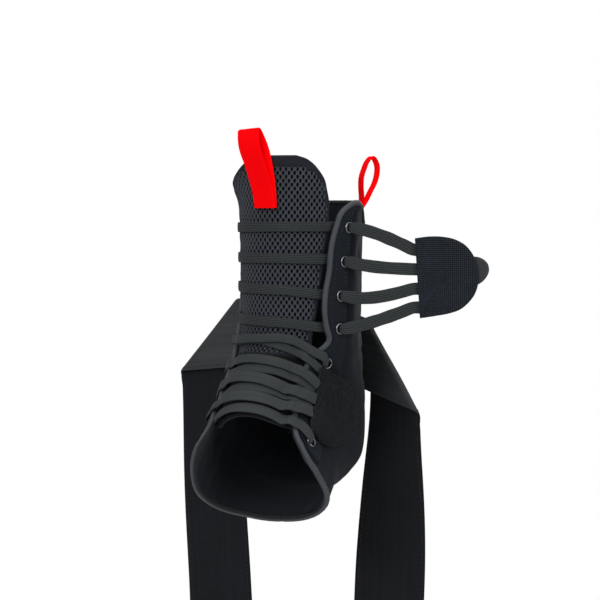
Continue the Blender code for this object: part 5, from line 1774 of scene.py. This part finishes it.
def start_material(name, roughness, sheen=0.0, sheen_roughness=0.5, specular=0.5, metallic=0.0):
    made = bpy.data.materials.new(name)
    made.use_nodes = True
    graph = Graph(made.node_tree)
    shader = made.node_tree.nodes["Principled BSDF"]
    shader.inputs["Roughness"].default_value = roughness
    shader.inputs["Metallic"].default_value = metallic
    shader.inputs["Sheen Weight"].default_value = sheen
    shader.inputs["Sheen Roughness"].default_value = sheen_roughness
    shader.inputs["Specular IOR Level"].default_value = specular
    cloth = graph.add("ShaderNodeAttribute", attribute_name="cloth").outputs["Vector"]
    mask = graph.add("ShaderNodeSeparateXYZ", {0: cloth}).outputs[2]
    return made, graph, shader, cloth, mask


def place_group(graph, group, inputs):
    made = graph.add("ShaderNodeGroup", node_tree=group)
    for key, value in inputs.items():
        graph.feed(made.inputs[key], value)
    return made.outputs


def dyed(graph, cloth, patches, grain, flecks):
    return place_group(graph, mottle_group(),
                       {"Cloth": cloth, "Patches": patches, "Grain": grain, "Flecks": flecks})


def coat(graph, shader, base, tone, dull, glossy):
    """Base colour, and a roughness that falls as the tone rises."""
    graph.feed(shader.inputs["Base Color"], base)
    graph.feed(shader.inputs["Roughness"], graph.remap(tone, 0.0, 1.0, dull, glossy))


def add_bump(graph, shader, height, distance):
    bump = graph.add("ShaderNodeBump", {"Height": height, "Distance": distance, "Strength": 1.0})
    graph.feed(shader.inputs["Normal"], bump.outputs[0])


def scaled(colour, factor):
    return (*[min(1.0, c * factor) for c in colour], 1.0)


def cloth_material(name, colour, weave, bump, roughness=0.85, sheen=0.05, dark=0.55, light=1.5, patches=60.0,
                   grain=1500.0, flecks=0.3, fleck_gain=3.0, painted_shade=1.0, rough_swing=0.12, specular=0.22,
                   painted_glow=0.0):
    """Dyed cloth of one colour: weave is a group and its inputs; where the mask is high the colour falls to a
    share of itself as painted shade, and an emission of the base colour can add painted light.
    """
    made, graph, shader, cloth, mask = start_material(name, roughness, sheen, 0.45, specular)
    woven = place_group(graph, weave[0], {"Cloth": cloth, **weave[1]})
    dye = dyed(graph, cloth, patches, grain, flecks)
    tone = graph.times(graph.remap(dye["Tone"], 0.3, 0.7), graph.remap(woven["Shade"], 0.0, 1.0, 0.45, 1.0))
    base = graph.blend(tone, scaled(colour, dark), scaled(colour, light))
    base = graph.blend(dye["Fleck"], base, scaled(colour, fleck_gain))
    # Painted shade: where the mask is high the colour falls to a share of itself.
    if painted_shade != 1.0:
        base = graph.blend(mask, base, scaled(colour, painted_shade))
    # Painted light: the base colour is also emitted.
    if painted_glow:
        graph.feed(shader.inputs["Emission Color"], base)
        shader.inputs["Emission Strength"].default_value = painted_glow
    coat(graph, shader, base, tone, roughness + rough_swing / 2, roughness - rough_swing / 2)
    add_bump(graph, shader, woven["Height"], bump)
    return made


def quarter_look(colours):
    # The inside face of each quarter carries the mask and is painted with shade at 0.15 of the colour.
    return cloth_material("quarter_knit", colours.boot,
                          (ribbed_group(), {"Ribs": 1700.0, "Stitches": 1500.0}),
                          0.00012, roughness=0.82, sheen=0.05, flecks=0.15, painted_shade=0.15)


def stay_look(colours):
    return cloth_material("eyestay_felted", colours.eyestay,
                          (woven_group(), {"Across": 1500.0, "Along": 1500.0, "Wander": 1.4}),
                          0.00022, roughness=0.9, sheen=0.04, dark=0.40, light=2.2, grain=420.0, flecks=0.95,
                          fleck_gain=4.2)


def binding_look(colours):
    # The mask paints shade on the tape's inner half and round the back of the collar.
    return cloth_material("binding_grosgrain", colours.binding,
                          (ribbed_group(), {"Ribs": 1300.0, "Stitches": 1500.0, "Turned": 1.0}),
                          0.00010, roughness=0.62, sheen=0.08, dark=0.8, light=1.25, flecks=0.1,
                          fleck_gain=1.6, patches=25.0, painted_shade=0.18)


def tongue_look(colours):
    """Smooth border, with painted shade where the mesh lies over it and below the mesh where the lower laces
    cross.
    """
    made, graph, shader, cloth, mask = start_material("tongue_lycra", 0.75, 0.05, 0.45, 0.22)
    woven = place_group(graph, ribbed_group(), {"Cloth": cloth, "Ribs": 2100.0, "Stitches": 1700.0})
    dye = dyed(graph, cloth, 45.0, 1400.0, 0.3)
    tone = graph.remap(dye["Tone"], 0.3, 0.7)
    base = graph.blend(tone, scaled(colours.tongue, 0.7), scaled(colours.tongue, 1.3))
    # Painted shade where the mask is high.
    base = graph.blend(mask, base, scaled(colours.tongue, 0.12))
    coat(graph, shader, base, tone, 0.82, 0.70)
    add_bump(graph, shader, woven["Height"], 0.00008)
    return made


def mesh_look(colours):
    """Knitted strands, painted lighter on their crests and with painted shade deep in the holes."""
    made, graph, shader, cloth, mask = start_material("mesh_knit", 0.7, 0.06, 0.4, 0.28)
    woven = place_group(graph, ribbed_group(),
                        {"Cloth": cloth, "Ribs": 2400.0, "Stitches": 2000.0, "Slant": 1.0})
    dye = dyed(graph, cloth, 80.0, 1800.0, 0.4)
    tone = graph.times(graph.remap(dye["Tone"], 0.3, 0.7, 0.4, 1.0),
                       graph.remap(woven["Shade"], 0.0, 1.0, 0.5, 1.0))
    base = graph.blend(tone, scaled(colours.mesh, 0.45), scaled(colours.mesh, 1.6))
    # Painted shade: deep in the holes the colour falls to 0.12 of itself.
    base = graph.blend(mask, scaled(colours.mesh, 0.12), base)
    coat(graph, shader, base, tone, 0.8, 0.62)
    add_bump(graph, shader, woven["Height"], 0.00012)
    return made


def lace_look(colours):
    """Braided cord with fine V stitches along each rib, and painted shade in the grooves between ribs and on
    the edges.
    """
    made, graph, shader, cloth, mask = start_material("lace_braid", 0.72, 0.06, 0.4, 0.28)
    woven = place_group(graph, ribbed_group(),
                        {"Cloth": cloth, "Ribs": 1300.0, "Stitches": 1100.0, "Slant": 1.2})
    dye = dyed(graph, cloth, 70.0, 1700.0, 0.25)
    tone = graph.times(graph.remap(dye["Tone"], 0.3, 0.7, 0.5, 1.0),
                       graph.remap(woven["Shade"], 0.0, 1.0, 0.4, 1.0))
    base = graph.blend(tone, scaled(colours.lace, 0.5), scaled(colours.lace, 1.5))
    half_ribs = bpy.context.scene.brace_sizes.lace_ribs / 2
    # Painted shade along the grooves between the ribs.
    crest = graph.math("ABSOLUTE", graph.math("SINE", graph.times(mask, math.pi * half_ribs)))
    base = graph.blend(graph.remap(crest, 0.1, 0.85, 0.92, 0.0), base, scaled(colours.lace, 0.16))
    # Painted shade on the edges, where the lace rounds away.
    rim = graph.remap(mask, 0.80, 1.0, 0.0, 0.7)
    base = graph.blend(rim, base, scaled(colours.lace, 0.3))
    coat(graph, shader, base, tone, 0.8, 0.62)
    add_bump(graph, shader, woven["Height"], 0.00014)
    return made


def webbing_look(colours):
    # The red is given a little emission as painted light.
    return cloth_material("red_webbing", colours.loop,
                          (ribbed_group(), {"Ribs": 1500.0, "Stitches": 1700.0, "Turned": 1.0}),
                          0.00006, roughness=0.8, sheen=0.0, dark=0.92, light=1.05, flecks=0.03,
                          fleck_gain=1.05, specular=0.05, painted_glow=0.14)


def metal_look(colours):
    """Blackened steel, so that only its lip catches the light."""
    made, graph, shader, cloth, mask = start_material("eyelet_steel", 0.28, metallic=1.0)
    dye = dyed(graph, cloth, 300.0, 2500.0, 0.2)
    base = graph.blend(graph.remap(dye["Tone"], 0.35, 0.65), scaled(colours.eyelet, 0.6),
                       scaled(colours.eyelet, 1.2))
    graph.feed(shader.inputs["Base Color"], base)
    graph.feed(shader.inputs["Roughness"], graph.remap(dye["Tone"], 0.3, 0.7, 0.22, 0.4))
    return made


def tab_look(colours):
    """Square grid weave whose colour follows its relief: painted light on the raised points and painted shade
    in the hollows between them.
    """
    made, graph, shader, cloth, mask = start_material("tab_grid_weave", 0.78, 0.04, 0.45, 0.2)
    woven = place_group(graph, woven_group(),
                        {"Cloth": cloth, "Across": 800.0, "Along": 800.0, "Wander": 0.08})
    dye = dyed(graph, cloth, 90.0, 900.0, 0.2)
    # The grid's height sets the colour: painted light on the raised points, painted shade between them.
    tone = graph.times(graph.remap(woven["Grid"], 0.08, 0.62), graph.remap(dye["Tone"], 0.3, 0.7, 0.45, 1.0))
    base = graph.blend(tone, scaled(colours.tab, 0.25), scaled(colours.tab, 3.4))
    coat(graph, shader, base, tone, 0.88, 0.7)
    add_bump(graph, shader, woven["Grid"], 0.0005)
    return made


def grip_look(colours):
    """Soft moulded grip with fine leathery grain."""
    made, graph, shader, cloth, mask = start_material("grip_moulded", 0.5, 0.03, 0.5, 0.35)
    dye = dyed(graph, cloth, 120.0, 2600.0, 0.1)
    base = graph.blend(graph.remap(dye["Tone"], 0.3, 0.7), scaled(colours.grip, 0.8),
                       scaled(colours.grip, 1.25))
    graph.feed(shader.inputs["Base Color"], base)
    graph.feed(shader.inputs["Roughness"], graph.remap(dye["Tone"], 0.3, 0.7, 0.42, 0.6))
    add_bump(graph, shader, dye["Tone"], 0.00008)
    return made


def pile_look(colours):
    """Matted loops: near black with greenish pale flecks."""
    made, graph, shader, cloth, mask = start_material("pile_loops", 0.9, 0.06, 0.35, 0.15)
    dye = dyed(graph, cloth, 300.0, 520.0, 0.8)
    # Painted shade: darker where the mask is low, in the hollows between the lumps.
    tone = graph.times(graph.remap(dye["Tone"], 0.44, 0.56), graph.remap(mask, 0.1, 0.9, 0.5, 1.0))
    base = graph.blend(tone, scaled(colours.pile, 0.1), scaled(colours.pile, 2.2))
    base = graph.blend(dye["Fleck"], base, scaled(colours.pile_fleck, 1.0))
    coat(graph, shader, base, tone, 0.95, 0.8)
    add_bump(graph, shader, dye["Tone"], 0.0014)
    return made


def strap_look(colours):
    """Brushed charcoal face and a smooth near-black back, with faint streaks along the strap that are painted
    sheen.
    """
    made, graph, shader, cloth, mask = start_material("strap_brushed", 0.8, 0.05, 0.45, 0.22)
    woven = place_group(graph, ribbed_group(), {"Cloth": cloth, "Ribs": 1400.0, "Stitches": 1300.0})
    dye = dyed(graph, cloth, 30.0, 1500.0, 0.2)
    stretch = graph.add("ShaderNodeMapping", {"Vector": cloth, "Scale": (1.0, 0.04, 1.0)}).outputs[0]
    # Painted sheen: streaks along the strap lighten and darken the colour.
    streak = graph.noise(stretch, 420.0, 3.0)
    tone = graph.times(graph.remap(dye["Tone"], 0.3, 0.7, 0.4, 1.0), graph.remap(streak, 0.3, 0.7, 0.45, 1.0))
    face = graph.blend(tone, scaled(colours.strap, 0.6), scaled(colours.strap, 1.4))
    back = graph.blend(tone, scaled(colours.strap_back, 0.5), scaled(colours.strap_back, 1.6))
    coat(graph, shader, graph.blend(mask, back, face), tone, 0.85, 0.68)
    add_bump(graph, shader, graph.math("ADD", woven["Height"], streak), 0.00012)
    return made


def tape_look(colours):
    return cloth_material("back_tape_grosgrain", colours.binding,
                          (ribbed_group(), {"Ribs": 1100.0, "Stitches": 1500.0, "Turned": 1.0}),
                          0.00014, roughness=0.65, sheen=0.08, dark=0.7, light=1.2, flecks=0.1,
                          fleck_gain=1.6)


def thread_look(colours):
    return cloth_material("sewing_thread", colours.thread,
                          (ribbed_group(), {"Ribs": 3000.0, "Stitches": 3000.0, "Slant": 1.0}),
                          0.00006, roughness=0.6, sheen=0.2, dark=0.7, light=1.4, flecks=0.1)


def hook_look(colours):
    return cloth_material("hook_nylon", colours.pile,
                          (woven_group(), {"Across": 650.0, "Along": 650.0, "Wander": 0.2}),
                          0.0002, roughness=0.5, sheen=0.1, dark=0.5, light=1.6, flecks=0.2)


# Stage

PHOTO_HEADING = 21.0
PHOTO_ELEVATION = 2.0
PHOTO_DISTANCE = 1.5
PHOTO_LENS = 139.97
PHOTO_RISE = 0.0401
PHOTO_SIDE = 0.0003
FLOOR_RADIUS = 0.85
FLOOR_DROP = 0.006


def camera_axes():
    heading, elevation = math.radians(PHOTO_HEADING), math.radians(PHOTO_ELEVATION)
    back = Vector((math.sin(heading) * math.cos(elevation), -math.cos(heading) * math.cos(elevation),
                   math.sin(elevation)))
    right = Vector((math.cos(heading), math.sin(heading), 0.0))
    return back, right, back.cross(right)


def build_camera():
    back, right, up = camera_axes()
    camera = bpy.data.objects.new("photo_camera", bpy.data.cameras.new("photo_camera"))
    camera.data.lens = PHOTO_LENS
    camera.data.sensor_width = 36.0
    camera.location = PHOTO_RISE * up + PHOTO_SIDE * right + PHOTO_DISTANCE * back
    camera.rotation_mode = "QUATERNION"
    camera.rotation_quaternion = back.to_track_quat("Z", "Y")
    bpy.context.scene.collection.objects.link(camera)
    bpy.context.scene.camera = camera


def build_light(name, place, size, power, colour=(1.0, 1.0, 1.0)):
    light = bpy.data.lights.new(name, "AREA")
    light.shape = "RECTANGLE"
    light.size, light.size_y = size
    light.energy = power
    light.color = colour
    made = bpy.data.objects.new(name, light)
    made.location = place
    made.rotation_mode = "QUATERNION"
    made.rotation_quaternion = Vector(place).to_track_quat("Z", "Y")
    made.visible_camera = False
    bpy.context.scene.collection.objects.link(made)


def floor_look(colour):
    made = bpy.data.materials.new("studio_paper")
    made.use_nodes = True
    graph = Graph(made.node_tree)
    shader = made.node_tree.nodes["Principled BSDF"]
    shader.inputs["Roughness"].default_value = 0.9
    place = graph.add("ShaderNodeNewGeometry").outputs["Position"]
    flat = graph.add("ShaderNodeVectorMath", {0: place, 1: (1.0, 1.0, 0.0)}, operation="MULTIPLY").outputs[0]
    reach = graph.add("ShaderNodeVectorMath", {0: flat}, operation="LENGTH").outputs["Value"]
    grain = graph.noise(place, 180.0, 3.0)
    graph.feed(shader.inputs["Base Color"], graph.blend(grain, scaled(colour, 0.97), scaled(colour, 1.0)))
    graph.feed(shader.inputs["Alpha"], graph.remap(reach, 0.35 * FLOOR_RADIUS, FLOOR_RADIUS, 1.0, 0.0))
    return made


def build_stage(settings):
    floor_level = CAD_LOW.z - FLOOR_DROP
    turns = 2 * math.pi * np.arange(96) / 96
    rings = [np.stack([r * np.cos(turns), r * np.sin(turns), np.full(96, floor_level)], axis=1)
             for r in (0.05, 0.3, 0.6, FLOOR_RADIUS)]
    faces = tube_faces(4, 96, caps=False) + [tuple(range(96))]
    mesh = bpy.data.meshes.new("studio_floor")
    mesh.from_pydata(np.concatenate(rings).tolist(), [], faces)
    mesh.materials.append(floor_look(settings.floor_colour))
    floor = bpy.data.objects.new("studio_floor", mesh)
    bpy.context.scene.collection.objects.link(floor)
    world = bpy.data.worlds.new("studio_white")
    bpy.context.scene.world = world
    world.use_nodes = True
    graph = Graph(world.node_tree)
    world.node_tree.nodes.clear()
    seen = graph.add("ShaderNodeBackground", {"Color": (1.0, 1.0, 1.0, 1.0), "Strength": 1.0}).outputs[0]
    soft = graph.add("ShaderNodeBackground",
                     {"Color": (0.97, 0.985, 1.0, 1.0), "Strength": settings.fill_light}).outputs[0]
    ray = graph.add("ShaderNodeLightPath").outputs["Is Camera Ray"]
    mixed = graph.add("ShaderNodeMixShader", {0: ray, 1: soft, 2: seen}).outputs[0]
    graph.add("ShaderNodeOutputWorld", {"Surface": mixed})
    back, right, up = camera_axes()
    build_light("key_softbox", 1.15 * back - 0.75 * right + 0.85 * up, (0.9, 1.1), settings.key_light)
    build_light("fill_softbox", 0.9 * back + 1.15 * right + 0.35 * up, (0.8, 1.2), 0.55 * settings.key_light)
    build_light("top_softbox", 0.1 * back + 1.3 * up, (1.0, 1.0), 0.5 * settings.key_light)
    build_light("back_softbox", -1.2 * back + 0.5 * right + 0.6 * up, (1.0, 1.0), 0.5 * settings.key_light)
    bpy.context.scene.view_settings.view_transform = "Standard"
    build_camera()


# Settings that a user would change

def colour_setting(name, description, default):
    return bpy.props.FloatVectorProperty(name=name, description=description, default=default, subtype="COLOR",
                                         size=3, min=0.0, max=1.0)


def length_setting(name, description, default, low, high):
    return bpy.props.FloatProperty(name=name, description=description, default=default, min=low, max=high,
                                   unit="LENGTH", precision=5)


class BraceColours(bpy.types.PropertyGroup):
    """Colours of the brace's cloths and trims."""

    boot: colour_setting("Boot", "Knit of the two quarters", (0.0080, 0.0104, 0.0155))
    eyestay: colour_setting("Eyestays", "Felted strips that carry the eyelets", (0.0096, 0.0136, 0.0205))
    binding: colour_setting("Bindings", "Folded edge tape", (0.060, 0.066, 0.076))
    tongue: colour_setting("Tongue", "Smooth border of the tongue", (0.0120, 0.0135, 0.0200))
    mesh: colour_setting("Mesh", "Knitted mesh on the tongue", (0.043, 0.049, 0.062))
    lace: colour_setting("Laces", "Flat braided laces", (0.036, 0.042, 0.044))
    loop: colour_setting("Pull loops", "Red webbing of both pull loops", (1.0, 0.0, 0.002))
    eyelet: colour_setting("Eyelets", "Rolled and blackened steel rings", (0.31, 0.32, 0.34))
    tab: colour_setting("Open tab", "Grid weave of the hook tab", (0.0100, 0.0130, 0.0190))
    grip: colour_setting("Grip", "Moulded grip behind the tab", (0.030, 0.033, 0.037))
    pile: colour_setting("Fuzzy patch", "Matted loops of the landing patch", (0.0062, 0.0090, 0.0130))
    pile_fleck: colour_setting("Patch flecks", "Pale flecks in the matted loops", (0.085, 0.108, 0.108))
    strap: colour_setting("Strap face", "Brushed outer face of the straps", (0.042, 0.045, 0.048))
    strap_back: colour_setting("Strap back", "Smooth inner face of the straps", (0.0042, 0.0050, 0.0075))
    thread: colour_setting("Thread", "Sewing thread", (0.013, 0.015, 0.021))


class BraceSizes(bpy.types.PropertyGroup):
    """Sizes of the fine detail that is added to the frame."""

    lace_width: length_setting("Lace width", "Width of a flat lace", 0.0062, 0.003, 0.010)
    stretched_lace_width: length_setting("Stretched lace width", "Width between eyelet and tab", 0.0079,
                                         0.003, 0.012)
    lace_ribs: bpy.props.IntProperty(name="Lace ribs", description="Ribs across a lace", default=6, min=4,
                                     max=16)
    mesh_pitch: length_setting("Mesh pitch", "Distance between mesh holes in a row", 0.00360, 0.002, 0.008)
    mesh_row: length_setting("Mesh row", "Distance between rows of mesh holes", 0.00245, 0.0015, 0.006)
    stitch_length: length_setting("Stitch length", "Length of a visible stitch", 0.0021, 0.001, 0.006)
    stitch_gap: length_setting("Stitch gap", "Gap between two stitches", 0.0009, 0.0003, 0.003)
    thread_radius: length_setting("Thread radius", "Radius of the sewing thread", 0.00020, 0.0001, 0.0005)


class BraceStage(bpy.types.PropertyGroup):
    """Light and floor of the studio."""

    floor_colour: colour_setting("Floor", "Plain pale paper", (0.95, 0.95, 0.95))
    key_light: bpy.props.FloatProperty(name="Key light", description="Power of the main softbox",
                                       default=14.0,
                                       min=0.0, max=500.0, unit="POWER")
    fill_light: bpy.props.FloatProperty(name="Fill light", description="Strength of the white surroundings",
                                        default=0.22, min=0.0, max=10.0)


def sewn(name, lines, context):
    sizes = context.scene.brace_sizes
    stitch_rows(name, lines, shared_look("sewing_thread", thread_look, context), sizes.stitch_length,
                sizes.stitch_gap, sizes.thread_radius)


def shared_look(name, maker, context):
    """The material of that name, made with the chosen colours the first time it is asked for."""
    return bpy.data.materials.get(name) or maker(context.scene.brace_colours)


class BRACE_OT_boot(bpy.types.Operator):
    """Build both quarters, their eyestays and the eyelets"""

    bl_idname = "brace.boot"
    bl_label = "Boot walls and eyelets"

    def execute(self, context):
        for side in ("lateral", "medial"):
            cutter = hole_cutter(side)
            build_quarter(side, cutter, shared_look("quarter_knit", quarter_look, context))
            build_eyestay(side, cutter, shared_look("eyestay_felted", stay_look, context))
            bpy.data.objects.remove(cutter, do_unlink=True)
            build_eyelets(side, shared_look("eyelet_steel", metal_look, context))
            sewn(side + "_eyestay_stitches", stay_stitch_lines(side), context)
        return {"FINISHED"}


class BRACE_OT_trims(bpy.types.Operator):
    """Build the edge bindings and the back seam tape"""

    bl_idname = "brace.trims"
    bl_label = "Bindings and back tape"

    def execute(self, context):
        for side in ("lateral", "medial"):
            build_binding(side, shared_look("binding_grosgrain", binding_look, context))
            sewn(side + "_binding_stitches", [binding_stitch_line(side)], context)
        build_back_tape(shared_look("back_tape_grosgrain", tape_look, context))
        sewn("back_seam_tape_stitches", tape_stitch_lines(), context)
        return {"FINISHED"}


class BRACE_OT_tongue(bpy.types.Operator):
    """Build the padded tongue and the mesh panel on it"""

    bl_idname = "brace.tongue"
    bl_label = "Tongue"

    def execute(self, context):
        build_tongue(shared_look("tongue_lycra", tongue_look, context))
        build_mesh_panel(context.scene.brace_sizes, shared_look("mesh_knit", mesh_look, context))
        sewn("tongue_stitches", tongue_stitch_lines(), context)
        return {"FINISHED"}


class BRACE_OT_laces(bpy.types.Operator):
    """Build the four upper laces and the eight lower lace strands"""

    bl_idname = "brace.laces"
    bl_label = "Laces"

    def execute(self, context):
        look = shared_look("lace_braid", lace_look, context)
        for row in UPPER_LACE_ROWS:
            build_upper_lace(row, context.scene.brace_sizes, look)
        for row in LOWER_LACE_ROWS:
            build_lower_lace(row, context.scene.brace_sizes, look)
        return {"FINISHED"}


class BRACE_OT_tabs(bpy.types.Operator):
    """Build the open hook tab with its grip, and the fuzzy patch that it closes on"""

    bl_idname = "brace.tabs"
    bl_label = "Tab, grip and patch"

    def execute(self, context):
        build_tab(shared_look("tab_grid_weave", tab_look, context),
                  shared_look("grip_moulded", grip_look, context))
        sewn("upper_tab_stitches", tab_stitch_lines(), context)
        build_patch(shared_look("pile_loops", pile_look, context))
        return {"FINISHED"}


class BRACE_OT_loops(bpy.types.Operator):
    """Build the two red pull loops"""

    bl_idname = "brace.loops"
    bl_label = "Pull loops"

    def execute(self, context):
        build_loops(shared_look("red_webbing", webbing_look, context))
        return {"FINISHED"}


class BRACE_OT_straps(bpy.types.Operator):
    """Build the two hanging straps with their hook patches"""

    bl_idname = "brace.straps"
    bl_label = "Straps"

    def execute(self, context):
        for row in STRAP_ROWS:
            strap = Strap(row)
            strap.build(shared_look("strap_brushed", strap_look, context),
                        shared_look("hook_nylon", hook_look, context))
            sewn(strap.value["side"] + "_strap_stitches", strap.stitch_lines(), context)
        return {"FINISHED"}


class BRACE_OT_stage(bpy.types.Operator):
    """Build the floor, the lights and the camera"""

    bl_idname = "brace.stage"
    bl_label = "Studio"

    def execute(self, context):
        build_stage(context.scene.brace_stage)
        return {"FINISHED"}


OPERATORS = (BRACE_OT_boot, BRACE_OT_trims, BRACE_OT_tongue, BRACE_OT_laces, BRACE_OT_tabs, BRACE_OT_loops,
             BRACE_OT_straps, BRACE_OT_stage)


class BRACE_PT_pieces(bpy.types.Panel):
    """Sizes, colours and build steps of the brace"""

    bl_label = "Ankle brace"
    bl_idname = "BRACE_PT_pieces"
    bl_space_type = "VIEW_3D"
    bl_region_type = "UI"
    bl_category = "Brace"

    def draw(self, context):
        layout = self.layout
        for settings in (context.scene.brace_sizes, context.scene.brace_colours, context.scene.brace_stage):
            box = layout.box()
            for key in settings.__annotations__:
                box.prop(settings, key)
        for operator in OPERATORS:
            layout.operator(operator.bl_idname)


SETTINGS = (("brace_colours", BraceColours), ("brace_sizes", BraceSizes), ("brace_stage", BraceStage))


def register():
    for key, group in SETTINGS:
        bpy.utils.register_class(group)
        setattr(bpy.types.Scene, key, bpy.props.PointerProperty(type=group))
    for kind in (*OPERATORS, BRACE_PT_pieces):
        bpy.utils.register_class(kind)


def unregister():
    for kind in (BRACE_PT_pieces, *reversed(OPERATORS)):
        bpy.utils.unregister_class(kind)
    for key, group in reversed(SETTINGS):
        delattr(bpy.types.Scene, key)
        bpy.utils.unregister_class(group)


def main():
    register()
    bpy.ops.brace.boot()
    bpy.ops.brace.trims()
    bpy.ops.brace.tongue()
    bpy.ops.brace.laces()
    bpy.ops.brace.tabs()
    bpy.ops.brace.loops()
    bpy.ops.brace.straps()
    bpy.ops.brace.stage()


if __name__ == "__main__":
    main()
